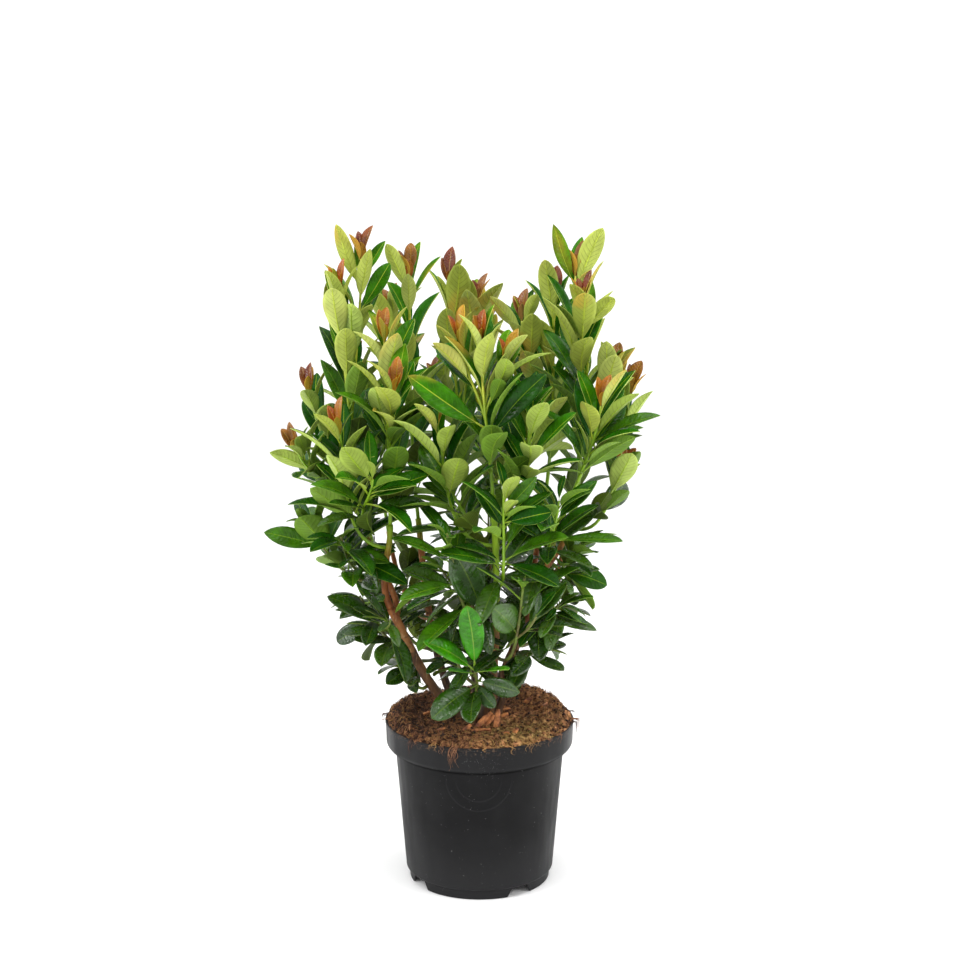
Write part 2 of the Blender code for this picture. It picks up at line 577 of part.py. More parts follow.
def place_leaves(crowd, mass, axes):
    """The placed leaves of a mass that stand clear, each rolled a little where it must be."""
    leaves = []
    for index, (shoot, axis) in enumerate(zip(mass.shoots, axes)):
        for placed in shoot.placed:
            for roll in PLACED_ROLLS:
                leaf = placed_leaf(axis, placed, roll)
                points, faces = leaf.parts(swell=BLADE_CLEAR * 0.5)
                if inside_box(points) and crowd.is_free(points, faces, (mass.name, index)):
                    crowd.add(points, faces, None)
                    leaves.append(leaf)
                    break
    return leaves


def find_room(crowd, spaces, number, owner, axis, shoot, share, turn, rng):
    """Turn and try a leaf until it stands clear of everything else, or give it up."""
    for attempt in range(TRIES):
        swing = turn + (attempt + 1) // 2 * 17.0 * (-1) ** attempt
        leaf = propose_leaf(axis, shoot, share, swing, rng)
        points, faces = leaf.parts(swell=BLADE_CLEAR * 0.5)
        middle = leaf.spot(LEAF_WAIST, 0.0)
        near = spaces.find(middle)
        if near[1] != number:
            own = min((hit[2] for hit in spaces.find_range(middle, near[2] + SPACE_SLACK)
                       if hit[1] == number), default=None)
            if own is None:
                continue
        if inside_crown(points) and crowd.is_free(points, faces, owner):
            crowd.add(points, faces, None)
            return leaf
    return None


def principled(name, colour, roughness):
    material = bpy.data.materials.new(name)
    material.use_nodes = True
    shader = material.node_tree.nodes["Principled BSDF"]
    shader.inputs["Base Color"].default_value = (*colour, 1.0)
    shader.inputs["Roughness"].default_value = roughness
    shader.inputs["Metallic"].default_value = 0.0
    return material


def add_object(name, mesh, material=None):
    piece = bpy.data.objects.new(name, mesh)
    bpy.context.scene.collection.objects.link(piece)
    if material:
        piece.data.materials.append(material)
    return piece


def mesh_of(name, points, faces):
    mesh = bpy.data.meshes.new(name)
    mesh.from_pydata(points, [], faces)
    return mesh


def turned_mesh(name, profile):
    """A solid turned about Z from a profile that starts and ends on the axis."""
    shape = bmesh.new()
    corners = [shape.verts.new((radius, 0.0, height)) for radius, height in profile]
    edges = [shape.edges.new(pair) for pair in zip(corners, corners[1:])]
    bmesh.ops.spin(shape, geom=corners + edges, axis=UP, cent=(0.0, 0.0, 0.0),
                   angle=2.0 * math.pi, steps=POT_SEGMENTS, use_merge=True)
    bmesh.ops.remove_doubles(shape, verts=shape.verts[:], dist=1e-6)
    bmesh.ops.recalc_face_normals(shape, faces=shape.faces[:])
    mesh = bpy.data.meshes.new(name)
    shape.to_mesh(mesh)
    shape.free()
    return mesh


def pot_inner_profile():
    """Inside of the pot from its lip down to its floor, as radius and height."""
    return ((RIM_RADIUS - POT_WALL - 0.0002, POT_HEIGHT),
            (RIM_RADIUS - POT_WALL - 0.0014, RIM_FOOT_Z + RIM_ROUND + 0.001),
            (RIM_RADIUS - POT_WALL - 0.0045, RIM_FOOT_Z + RIM_ROUND * 0.5),
            (BODY_TOP_RADIUS - POT_WALL, RIM_FOOT_Z + POT_WALL),
            (BODY_FOOT_RADIUS - POT_WALL, FOOT_HEIGHT + POT_WALL))


def build_pot():
    """The pot: foot ring with drain notches, tapering body, rounded rim band and flat lip."""
    underside = FOOT_HEIGHT - FLOOR_THICKNESS * 0.2
    outer = ((0.0, 0.0), (PAD_RADIUS, 0.0), (PAD_RADIUS, underside),
             (FOOT_RADIUS - POT_WALL, underside), (FOOT_RADIUS - POT_WALL, 0.0),
             (FOOT_RADIUS, 0.0), (FOOT_RADIUS + 0.0006, FOOT_HEIGHT),
             (BODY_FOOT_RADIUS, FOOT_HEIGHT + 0.0006),
             (BODY_TOP_RADIUS, RIM_FOOT_Z), (BODY_TOP_RADIUS + RIM_STEP, RIM_FOOT_Z + 0.0003),
             (RIM_RADIUS - 0.0045, RIM_FOOT_Z + RIM_ROUND * 0.30),
             (RIM_RADIUS - 0.0015, RIM_FOOT_Z + RIM_ROUND),
             (RIM_RADIUS, POT_HEIGHT - 0.0008), (RIM_RADIUS - 0.0006, POT_HEIGHT))
    inner = pot_inner_profile()
    floor = ((0.0, FOOT_HEIGHT + POT_WALL),)
    pot = add_object("pot", turned_mesh("pot", outer + inner + floor),
                     principled("pot plastic", POT_GREY, 0.55))
    pot.data.shade_smooth()
    pot.data.set_sharp_from_angle(angle=math.radians(35.0))
    for number, azimuth in enumerate(NOTCH_AZIMUTHS):
        cutter = add_object("notch_cutter_" + str(number), notch_mesh(azimuth))
        cutter.hide_render = True
        cutter.display_type = "WIRE"
        cut = pot.modifiers.new("Drain notch", "BOOLEAN")
        cut.operation = "DIFFERENCE"
        cut.object = cutter
    return pot


def notch_mesh(azimuth):
    """A wedge through the foot ring, wider at the ground than at its top."""
    heading = math.radians(azimuth - 90.0)
    points = []
    for height, half in ((-0.004, NOTCH_HALF_ANGLE + 2.4), (NOTCH_HEIGHT, NOTCH_HALF_ANGLE - 2.4)):
        for radius, sign in ((0.090, -1), (0.112, -1), (0.112, 1), (0.090, 1)):
            turn = heading + math.radians(half) * sign
            points.append((radius * math.cos(turn), radius * math.sin(turn), height))
    faces = [(3, 2, 1, 0), (4, 5, 6, 7), (0, 1, 5, 4), (1, 2, 6, 5), (2, 3, 7, 6), (3, 0, 4, 7)]
    return mesh_of("notch", points, faces)


def soil_height(x, y):
    """Top of the soil: flat round the stems, heaped against the rim at the left and the back right."""
    radius = math.hypot(x, y)
    heap = 0.0
    for azimuth, height, spread in SOIL_HEAPS:
        turn = (math.degrees(math.atan2(y, x)) - azimuth + 180.0) % 360.0 - 180.0
        heap += height * math.exp(-(turn / spread) ** 2)
    rise = smooth_step(radius, SOIL_FLAT_RADIUS, SOIL_MOUND_RADIUS - 0.012)
    outside = smooth_step(radius, SOIL_MOUND_RADIUS - 0.006, RIM_RADIUS - 0.003)
    return mix(SOIL_LEVEL + heap * rise, SOIL_EDGE_Z + heap * SOIL_HEAP_EDGE, outside)


def build_soil():
    """The root ball and soil that fill the pot, a hair clear of its wall."""
    bottom = FOOT_HEIGHT + POT_WALL + CLEAR
    wall = [(radius - CLEAR * 1.6, height + CLEAR) for radius, height in pot_inner_profile()[1:]]
    wall.reverse()
    top = [(RIM_RADIUS - POT_WALL - CLEAR * 4, SOIL_EDGE_Z)]
    top += [(radius, SOIL_LEVEL) for radius in (SOIL_MOUND_RADIUS, 0.112, SOIL_FLAT_RADIUS)]
    profile = [(0.0, bottom)] + wall + top + [(0.0, SOIL_LEVEL)]
    mesh = turned_mesh("soil", profile)
    for vertex in mesh.vertices:
        if vertex.co.z >= SOIL_EDGE_Z - 1e-5:
            vertex.co.z = soil_height(vertex.co.x, vertex.co.y)
    return add_object("soil", mesh, principled("soil", SOIL_BROWN, 0.95))


def build_limbs(limbs):
    for limb in LIMBS:
        axis = limbs[limb.name]
        parts = tube_parts(axis, rings_along(axis, LIMB_RING_STEP), limb.sides,
                           limb.parent is None)
        piece = add_object(limb.name, mesh_of(limb.name, *parts),
                           principled(limb.name + " bark", BARK_BROWN, 0.75))
        piece.data.shade_smooth()
        piece.data.set_sharp_from_angle(angle=math.radians(50.0))


def fuse(body, pieces):
    """Join the pieces to the body in one union on a collection, remove them, tell if it closed."""
    group = bpy.data.collections.new(body.name + " pieces")
    bpy.context.scene.collection.children.link(group)
    for piece in pieces:
        bpy.context.scene.collection.objects.unlink(piece)
        group.objects.link(piece)
    union = body.modifiers.new("Fuse", "BOOLEAN")
    union.operation = "UNION"
    union.operand_type = "COLLECTION"
    union.collection = group
    for solver in ("EXACT", "MANIFOLD"):
        union.solver = solver
        fused = evaluated_mesh(body)
        closed = one_closed_body(fused)
        if closed:
            break
    body.modifiers.clear()
    body.data = fused
    for piece in pieces:
        bpy.data.objects.remove(piece)
    bpy.data.collections.remove(group)
    return closed


def evaluated_mesh(piece):
    graph = bpy.context.evaluated_depsgraph_get()
    return bpy.data.meshes.new_from_object(piece.evaluated_get(graph))


def one_closed_body(mesh):
    """Cut the mesh into triangles, keep its largest shell, and tell whether that is closed.

    The smaller shells are scraps and sealed hollows, which are dropped and filled by this.
    """
    shape = bmesh.new()
    shape.from_mesh(mesh)
    bmesh.ops.triangulate(shape, faces=shape.faces[:])
    waiting = set(shape.faces)
    shells = []
    while waiting:
        shell = []
        reached = [waiting.pop()]
        while reached:
            face = reached.pop()
            shell.append(face)
            beside = {other for edge in face.edges for other in edge.link_faces} & waiting
            waiting -= beside
            reached += beside
        shells.append(shell)
    shells.sort(key=len)
    for shell in shells[:-1]:
        bmesh.ops.delete(shape, geom=shell, context="FACES")
    loose = [vertex for vertex in shape.verts if not vertex.link_faces]
    bmesh.ops.delete(shape, geom=loose, context="VERTS")
    sides = Counter()
    for face in shape.faces:
        corners = [tuple(round(value / WELD) for value in vertex.co) for vertex in face.verts]
        if len(set(corners)) == 3:
            sides.update(frozenset(pair) for pair in zip(corners, corners[1:] + corners[:1]))
    shape.to_mesh(mesh)
    shape.free()
    return all(count == 2 for count in sides.values())


def build_mass(mass, axes, leaves, sink):
    """One mass fused from its twigs and leaves, and whether it came out as one closed body."""
    pieces = []
    for axis in axes:
        parts = tube_parts(axis, rings_along(axis, TWIG_RING_STEP), TWIG_SIDES, bud=BUD_LENGTH)
        pieces.append(add_object("twig", mesh_of("twig", *parts)))
    for leaf in leaves:
        points, faces = leaf.parts()
        sunk = [point - leaf.ahead * sink for point in points]
        pieces.append(add_object("leaf", mesh_of("leaf", sunk, faces)))
    closed = fuse(pieces[0], pieces[1:])
    return pieces[0], closed


def build_masses(grown):
    for mass in MASSES:
        for attempt in range(FUSE_TRIES):
            body, closed = build_mass(mass, *grown[mass.name], ROOT_NUDGE * attempt)
            if closed or attempt == FUSE_TRIES - 1:
                break
            bpy.data.objects.remove(body)
        body.name = mass.name
        body.data.materials.clear()
        body.data.materials.append(principled(mass.name + " green", LEAF_GREEN, 0.45))


def main():
    for piece in list(bpy.data.objects):
        bpy.data.objects.remove(piece)
    plant = grow()
    build_pot()
    build_soil()
    build_limbs(plant.limbs)
    build_masses(plant.grown)


main()
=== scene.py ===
"""Looks of the potted cherry laurel: leaves, shoots, bark, soil and pot round the fixed frame.

The plant grows here by the same rule as its solids, written again, so every blade stands where
the solid leaf stands.  Units are metres, +Z is up and the plant is seen from -Y.
"""

import json
import math
import random
from collections import namedtuple

import bmesh
import bpy
from mathutils import Matrix, Vector, noise
from mathutils.bvhtree import BVHTree
from mathutils.kdtree import KDTree

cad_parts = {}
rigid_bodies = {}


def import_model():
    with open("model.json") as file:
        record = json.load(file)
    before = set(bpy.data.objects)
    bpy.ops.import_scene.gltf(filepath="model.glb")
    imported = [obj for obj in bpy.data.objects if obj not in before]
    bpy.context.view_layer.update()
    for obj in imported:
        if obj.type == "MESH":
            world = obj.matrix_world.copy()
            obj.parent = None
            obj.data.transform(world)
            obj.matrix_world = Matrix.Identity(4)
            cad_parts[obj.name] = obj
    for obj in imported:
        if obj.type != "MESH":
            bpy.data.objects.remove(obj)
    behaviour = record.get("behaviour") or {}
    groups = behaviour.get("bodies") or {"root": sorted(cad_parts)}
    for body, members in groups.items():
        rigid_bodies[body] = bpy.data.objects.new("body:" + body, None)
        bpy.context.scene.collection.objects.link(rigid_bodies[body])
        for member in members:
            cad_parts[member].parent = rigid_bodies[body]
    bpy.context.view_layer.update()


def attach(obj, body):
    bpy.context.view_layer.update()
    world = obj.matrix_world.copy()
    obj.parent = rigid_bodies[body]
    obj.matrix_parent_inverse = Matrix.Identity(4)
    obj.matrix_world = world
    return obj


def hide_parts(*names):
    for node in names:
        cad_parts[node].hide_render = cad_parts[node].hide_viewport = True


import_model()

UP = Vector((0.0, 0.0, 1.0))
CLEAR = 0.0003             # gap between two pieces that meet

# Pot
POT_HEIGHT = 0.247
POT_WALL = 0.0022
RIM_RADIUS = 0.142
RIM_FOOT_Z = 0.206         # underside of the rim band
RIM_STEP = 0.0030          # flat ledge under the rim band
RIM_ROUND = 0.0100         # height over which the band rounds out
BODY_TOP_RADIUS = 0.1270
BODY_FOOT_RADIUS = 0.1115
FOOT_HEIGHT = 0.0148
FOOT_RADIUS = 0.106
FLOOR_THICKNESS = 0.0022
PAD_RADIUS = 0.030         # flat boss in the middle of the underside
NOTCH_AZIMUTHS = (-58.0, 34.5, 126.0, 218.0)   # degrees from the front towards +X
NOTCH_HALF_ANGLE = 10.0
NOTCH_HEIGHT = 0.0125

# Soil
SOIL_EDGE_Z = 0.2425
SOIL_LEVEL = 0.250         # flat ground that the stems rise from
SOIL_FLAT_RADIUS = 0.070
SOIL_MOUND_RADIUS = 0.126
# Heaps against the rim: degrees from +X towards +Y, height and half angle
SOIL_HEAPS = ((48.0, 0.0150, 42.0), (166.0, 0.0110, 40.0))
SOIL_HEAP_EDGE = 0.6       # share of a heap's height that is left at the pot's wall

# Limbs
CURVE_PULL = 0.36          # how far the end leans carry into a curve
LIMB_RING_STEP = 0.038
FLARE_LENGTH = 0.014
FLARE_GAIN = 1.45

# Twigs and leaves
TWIG_SIDES = 3
TWIG_RING_STEP = 0.085
TWIG_FOOT_RADIUS = 0.0030
TWIG_TIP_RADIUS = 0.0019
BUD_LENGTH = 0.014
GOLDEN_TURN = 137.5
LEAF_THICKNESS = 0.013     # share of the leaf's length
LEAF_OUTLINE = ((0.0, 0.0), (0.62, 0.98), (1.0, 0.0), (0.62, -0.98))
LEAF_WAIST = 0.58          # where the blade is thickest
LEAF_SLIM = 0.36           # width of a leaf as a share of its length
LEAF_LIFT = 0.65           # how strongly leaves of new growth turn to the light
LEAF_DROOP = 0.14          # and how far old ones hang
LEAF_SUN = 0.75            # how far the leaves of flat shoots turn their faces up
BLADE_CLEAR = 0.0016       # room kept between two leaves
SPACE_SLACK = 0.030        # how far a leaf may lean over a neighbour's space
CROWN_LOW = Vector((-0.325, -0.235, 0.262))
CROWN_HIGH = Vector((0.262, 0.270, 0.992))
CROWN_DEPTH = 0.92         # depth of the crown as a share of its width
# Height, and how far the crown reaches there to the left and to the right
CROWN_REACH = ((0.30, -0.120, 0.080), (0.34, -0.195, 0.130), (0.40, -0.218, 0.170), (0.49, -0.245, 0.186),
               (0.54, -0.290, 0.218), (0.66, -0.308, 0.238), (0.76, -0.262, 0.256), (0.85, -0.240, 0.208),
               (0.93, -0.228, 0.184), (1.00, -0.214, 0.178))
TRIES = 14
# Feet of stems that no leaf hides from the front: from and to a share of the stem's length
BARE_FEET = (("stem_left", 0.24, 0.98), ("stem_right", 0.22, 0.27), ("stem_right", 0.35, 0.64))
BARE_SIGHT = Vector((0.0, -0.170, 0.053))      # how far in front of them stays free
BARE_STEPS = 8
PLACED_ROLLS = (0, 15, -15, 30, -30, 50, -50)


# A limb grows from the ground (parent None), from its parent's tip (at 1) or from its side.
Limb = namedtuple("Limb", "name parent at foot tip foot_lean tip_lean foot_radius tip_radius sides")

LIMBS = (
    Limb("stem_left", None, 0, (-0.026, -0.013), (-0.130, -0.050, 0.432),
         (-0.74, -0.05, 0.67), (-0.42, -0.10, 0.90), 0.0078, 0.0060, 8),
    Limb("bough_left_front", "stem_left", 1.0, None, (-0.129, -0.062, 0.560),
         None, (0.00, -0.02, 1.00), 0.0054, 0.0040, 6),
    Limb("bough_left_outer", "stem_left", 0.93, None, (-0.176, -0.018, 0.565),
         None, (-0.20, 0.06, 1.00), 0.0050, 0.0038, 6),
    Limb("stem_back_left", None, 0, (-0.032, 0.013), (-0.092, 0.044, 0.545),
         (-0.42, 0.14, 0.90), (-0.10, 0.04, 1.00), 0.0064, 0.0044, 6),
    Limb("bough_back_left", "stem_back_left", 0.50, None, (-0.140, 0.110, 0.510),
         None, (-0.14, 0.16, 1.00), 0.0042, 0.0034, 6),
    Limb("stem_centre_front", None, 0, (0.015, -0.037), (0.019, -0.094, 0.610),
         (0.10, -0.12, 0.99), (-0.06, -0.08, 1.00), 0.0054, 0.0044, 6),
    Limb("stem_right", None, 0, (0.002, -0.012), (0.107, -0.048, 0.535),
         (0.44, -0.03, 0.90), (0.26, -0.04, 0.96), 0.0080, 0.0054, 8),
    Limb("bough_right_front", "stem_right", 1.0, None, (0.132, -0.060, 0.600),
         None, (0.36, -0.06, 0.93), 0.0046, 0.0038, 6),
    Limb("bough_right_outer", "stem_right", 0.86, None, (0.142, 0.004, 0.575),
         None, (0.14, 0.10, 1.00), 0.0044, 0.0036, 6),
    Limb("stem_back_right", None, 0, (0.026, 0.002), (0.098, 0.048, 0.575),
         (0.30, 0.12, 0.95), (0.14, 0.06, 1.00), 0.0060, 0.0040, 6),
    Limb("bough_back_right", "stem_back_right", 0.50, None, (0.136, 0.118, 0.510),
         None, (0.14, 0.16, 1.00), 0.0040, 0.0034, 6),
    Limb("stem_centre_back", None, 0, (-0.004, 0.010), (-0.022, 0.082, 0.560),
         (-0.06, 0.20, 0.98), (-0.04, 0.12, 1.00), 0.0058, 0.0040, 6),
    Limb("stem_back", None, 0, (0.014, 0.034), (0.018, 0.132, 0.505),
         (0.02, 0.36, 0.93), (0.02, 0.18, 1.00), 0.0056, 0.0038, 6),
    Limb("stem_sprout", None, 0, (-0.006, -0.046), (-0.004, -0.074, 0.316),
         (0.02, -0.10, 1.00), (0.02, -0.10, 1.00), 0.0034, 0.0028, 6),
)

# A mass of foliage grows from its parent's tip or side.  Its first shoot carries the others, which
# leave it at the given share of its length.  Size is the length of the shoot's full-grown leaves,
# and lay tells how its leaves stand: 0 upright as on new growth, 1 spread flat or drooping.
# Placed leaves are the ones that stand out: where they leave the shoot, their tip, the way their
# upper side faces and their width as a share of their length.
Mass = namedtuple("Mass", "name parent at shoots")
Shoot = namedtuple("Shoot", "at tip leaves size lay placed", defaults=((),))
Placed = namedtuple("Placed", "at tip facing slim")
Plant = namedtuple("Plant", "limbs grown crowd spaces")

OVER = (0.0, -0.35, 1.0)
FRONT = (0.0, -1.0, 0.5)
AWAY = (0.0, 1.0, 0.45)
SLANT = (0.0, -0.75, 0.80)

MASSES = (
    Mass("foliage_front_sprout", "stem_sprout", 1.0, (
        Shoot(0, (-0.007, -0.118, 0.360), 0, 0.070, 0.9, (
            Placed(0.97, (-0.018, -0.172, 0.470), FRONT, 0.28),
            Placed(0.93, (-0.074, -0.165, 0.417), SLANT, 0.30),
            Placed(0.84, (0.042, -0.165, 0.373), SLANT, 0.28),
            Placed(0.74, (-0.043, -0.155, 0.370), OVER, 0.26),
            Placed(0.18, (-0.066, -0.145, 0.297), FRONT, 0.40),
            Placed(0.10, (-0.014, -0.150, 0.293), FRONT, 0.42),
            Placed(0.26, (0.021, -0.135, 0.309), FRONT, 0.36),
            Placed(0.36, (0.058, -0.125, 0.327), FRONT, 0.38))),)),
    Mass("foliage_foot_middle", "stem_centre_front", 0.15, (
        Shoot(0, (-0.054, -0.064, 0.414), 8, 0.088, 0.9),
        Shoot(0.30, (0.004, -0.078, 0.412), 5, 0.080, 1.0))),
    Mass("foliage_centre_front", "stem_centre_front", 1.0, (
        Shoot(0, (0.001, -0.122, 0.832), 13, 0.102, 0.1, (
            Placed(0.44, (-0.095, -0.140, 0.790), FRONT, 0.28),
            Placed(0.37, (0.090, -0.130, 0.790), FRONT, 0.28),
            Placed(0.21, (0.016, -0.138, 0.722), AWAY, 0.50),
            Placed(0.08, (0.072, -0.120, 0.675), AWAY, 0.40))),
        Shoot(0.48, (-0.026, -0.096, 0.826), 7, 0.084, 0.1),
        Shoot(0.54, (0.036, -0.106, 0.800), 6, 0.084, 0.2))),
    Mass("foliage_left_high", "bough_left_outer", 1.0, (
        Shoot(0, (-0.169, -0.020, 0.940), 11, 0.102, 0.1, (
            Placed(0.89, (-0.203, -0.022, 0.990), AWAY, 0.26),
            Placed(0.92, (-0.137, -0.010, 0.966), OVER, 0.38),
            Placed(0.80, (-0.130, -0.002, 0.934), FRONT, 0.34),
            Placed(0.14, (-0.236, -0.035, 0.693), OVER, 0.30))),
        Shoot(0.26, (-0.200, -0.038, 0.888), 10, 0.104, 0.1))),
    Mass("foliage_left_front", "bough_left_front", 1.0, (
        Shoot(0, (-0.135, -0.064, 0.828), 14, 0.104, 0.2, (
            Placed(0.08, (-0.138, -0.102, 0.650), AWAY, 0.50),
            Placed(0.05, (-0.100, -0.100, 0.640), AWAY, 0.48))),
        Shoot(0.32, (-0.120, -0.110, 0.760), 9, 0.098, 0.2))),
    Mass("foliage_right_high", "bough_right_outer", 1.0, (
        Shoot(0, (0.139, 0.020, 0.912), 11, 0.104, 0.1, (
            Placed(0.93, (0.176, 0.002, 0.984), AWAY, 0.35),
            Placed(0.95, (0.108, 0.008, 0.986), FRONT, 0.26))),
        Shoot(0.30, (0.146, -0.030, 0.876), 10, 0.102, 0.1, (
            Placed(0.80, (0.190, -0.056, 0.893), AWAY, 0.36),)))),
    Mass("foliage_right_front", "bough_right_front", 1.0, (
        Shoot(0, (0.172, -0.086, 0.738), 10, 0.098, 0.3, (
            Placed(0.27, (0.220, -0.086, 0.698), AWAY, 0.34),)),
        Shoot(0.16, (0.190, -0.030, 0.772), 11, 0.100, 0.2, (
            Placed(0.39, (0.256, -0.050, 0.725), OVER, 0.30),)))),
    Mass("foliage_left_outer", "bough_left_outer", 0.70, (
        Shoot(0, (-0.250, 0.020, 0.738), 13, 0.104, 0.3),
        Shoot(0.37, (-0.264, -0.016, 0.655), 9, 0.100, 0.5, (
            Placed(0.68, (-0.305, -0.022, 0.662), AWAY, 0.36),
            Placed(0.37, (-0.256, -0.006, 0.646), AWAY, 0.50))))),
    Mass("foliage_left_middle", "bough_left_front", 0.74, (
        Shoot(0, (-0.198, -0.088, 0.698), 12, 0.102, 0.4, (
            Placed(0.34, (-0.240, -0.102, 0.626), AWAY, 0.38),)),
        Shoot(0.30, (-0.150, -0.128, 0.640), 8, 0.098, 0.5, (
            Placed(0.34, (-0.212, -0.122, 0.607), OVER, 0.32),
            Placed(0.95, (-0.190, -0.156, 0.697), AWAY, 0.50))))),
    Mass("foliage_right_outer", "bough_right_outer", 0.72, (
        Shoot(0, (0.222, 0.024, 0.738), 12, 0.098, 0.3, (
            Placed(0.18, (0.188, -0.042, 0.606), AWAY, 0.44),)),
        Shoot(0.30, (0.206, -0.006, 0.618), 8, 0.092, 0.5))),
    Mass("foliage_back_left_high", "stem_back_left", 1.0, (
        Shoot(0, (-0.103, 0.034, 0.908), 11, 0.102, 0.1, (
            Placed(0.93, (-0.134, 0.020, 0.959), AWAY, 0.30),
            Placed(0.90, (-0.062, 0.022, 0.942), OVER, 0.24))),
        Shoot(0.30, (-0.132, 0.112, 0.842), 11, 0.100, 0.2))),
    Mass("foliage_centre_back", "stem_centre_back", 1.0, (
        Shoot(0, (-0.046, 0.116, 0.890), 10, 0.102, 0.1, (
            Placed(0.80, (-0.030, 0.080, 0.926), AWAY, 0.38),)),
        Shoot(0.30, (-0.004, 0.122, 0.856), 9, 0.100, 0.1))),
    Mass("foliage_back_right_high", "stem_back_right", 1.0, (
        Shoot(0, (0.110, 0.056, 0.872), 10, 0.100, 0.1, (
            Placed(0.86, (0.095, 0.036, 0.936), AWAY, 0.30),)),
        Shoot(0.22, (0.062, 0.054, 0.842), 10, 0.098, 0.1, (
            Placed(0.90, (0.016, 0.030, 0.883), AWAY, 0.28),
            Placed(0.94, (0.084, 0.030, 0.886), AWAY, 0.34))))),
    Mass("foliage_centre_left", "stem_centre_front", 0.80, (
        Shoot(0, (-0.060, -0.100, 0.715), 12, 0.104, 0.4, (
            Placed(0.54, (-0.028, -0.124, 0.672), AWAY, 0.55),)),
        Shoot(0.26, (-0.060, -0.036, 0.660), 10, 0.100, 0.5))),
    Mass("foliage_centre_right", "stem_centre_front", 0.92, (
        Shoot(0, (0.072, -0.110, 0.735), 12, 0.102, 0.4),
        Shoot(0.26, (0.070, -0.036, 0.700), 10, 0.100, 0.5))),
    Mass("foliage_centre_middle", "stem_centre_front", 0.64, (
        Shoot(0, (0.034, -0.160, 0.630), 10, 0.098, 0.6, (
            Placed(0.86, (0.078, -0.176, 0.654), FRONT, 0.34),
            Placed(0.77, (0.098, -0.180, 0.606), FRONT, 0.38),
            Placed(0.44, (0.112, -0.164, 0.500), OVER, 0.42))),)),
    Mass("foliage_centre_low_left", "stem_centre_front", 0.46, (
        Shoot(0, (-0.046, -0.138, 0.565), 11, 0.098, 0.8, (
            Placed(0.16, (-0.036, -0.130, 0.540), FRONT, 0.46),
            Placed(0.07, (0.036, -0.138, 0.448), FRONT, 0.52))),
        Shoot(0.30, (-0.056, -0.076, 0.500), 8, 0.094, 0.9))),
    Mass("foliage_centre_low_right", "stem_centre_front", 0.30, (
        Shoot(0, (0.064, -0.136, 0.500), 10, 0.098, 0.8, (
            Placed(0.53, (0.020, -0.158, 0.462), FRONT, 0.56),)),
        Shoot(0.26, (0.080, -0.148, 0.446), 7, 0.086, 0.9))),
    Mass("foliage_left_low_outer", "bough_left_outer", 0.45, (
        Shoot(0, (-0.256, -0.014, 0.552), 11, 0.100, 0.8, (
            Placed(0.72, (-0.316, -0.024, 0.540), FRONT, 0.34),
            Placed(0.66, (-0.262, -0.048, 0.569), AWAY, 0.60),
            Placed(0.47, (-0.228, -0.062, 0.518), AWAY, 0.62))),
        Shoot(0.26, (-0.200, -0.072, 0.545), 9, 0.096, 0.9))),
    Mass("foliage_left_low", "stem_left", 0.72, (
        Shoot(0, (-0.176, -0.040, 0.448), 11, 0.092, 1.0, (
            Placed(0.08, (-0.182, -0.064, 0.389), OVER, 0.38),
            Placed(0.60, (-0.212, -0.030, 0.375), FRONT, 0.42))),
        Shoot(0.26, (-0.128, -0.108, 0.430), 8, 0.088, 1.0))),
    Mass("foliage_left_foot", "stem_left", 0.36, (
        Shoot(0, (-0.116, -0.046, 0.362), 8, 0.072, 0.9, (
            Placed(0.74, (-0.136, -0.080, 0.326), FRONT, 0.52),)),)),
    Mass("foliage_right_middle", "stem_right", 0.92, (
        Shoot(0, (0.112, -0.130, 0.610), 10, 0.098, 0.6, (
            Placed(0.53, (0.205, -0.098, 0.549), OVER, 0.26),)),)),
    Mass("foliage_right_low_outer", "stem_right", 0.80, (
        Shoot(0, (0.150, -0.006, 0.520), 10, 0.092, 0.9, (
            Placed(0.24, (0.176, -0.036, 0.488), OVER, 0.38),
            Placed(0.34, (0.188, -0.030, 0.462), FRONT, 0.42))),)),
    Mass("foliage_right_low", "stem_right", 0.60, (
        Shoot(0, (0.126, -0.030, 0.440), 9, 0.090, 1.0, (
            Placed(0.12, (0.172, -0.052, 0.400), OVER, 0.32),)),
        Shoot(0.29, (0.112, -0.098, 0.448), 9, 0.088, 1.0))),
    Mass("foliage_right_foot", "stem_right", 0.40, (
        Shoot(0, (0.094, -0.066, 0.376), 8, 0.076, 1.0, (
            Placed(0.34, (0.124, -0.074, 0.346), OVER, 0.36),)),)),
    Mass("foliage_back_left", "bough_back_left", 1.0, (
        Shoot(0, (-0.186, 0.122, 0.756), 13, 0.100, 0.3),
        Shoot(0.24, (-0.168, 0.184, 0.680), 11, 0.098, 0.5))),
    Mass("foliage_back_right", "bough_back_right", 1.0, (
        Shoot(0, (0.166, 0.128, 0.790), 13, 0.100, 0.3),
        Shoot(0.24, (0.200, 0.136, 0.680), 11, 0.098, 0.5))),
    Mass("foliage_back_centre", "stem_back", 1.0, (
        Shoot(0, (0.012, 0.180, 0.812), 12, 0.102, 0.2),
        Shoot(0.22, (0.068, 0.188, 0.732), 10, 0.100, 0.4),
        Shoot(0.28, (-0.062, 0.184, 0.722), 10, 0.100, 0.4))),
    Mass("foliage_back_low_left", "stem_back_left", 0.34, (
        Shoot(0, (-0.160, 0.086, 0.480), 11, 0.094, 0.9),
        Shoot(0.34, (-0.110, 0.150, 0.456), 9, 0.092, 1.0))),
    Mass("foliage_back_low_centre", "stem_back", 0.46, (
        Shoot(0, (0.014, 0.204, 0.520), 11, 0.096, 0.9),
        Shoot(0.30, (0.066, 0.146, 0.486), 8, 0.092, 0.9))),
    Mass("foliage_back_low_right", "stem_back_right", 0.32, (
        Shoot(0, (0.136, 0.092, 0.482), 11, 0.094, 0.9),
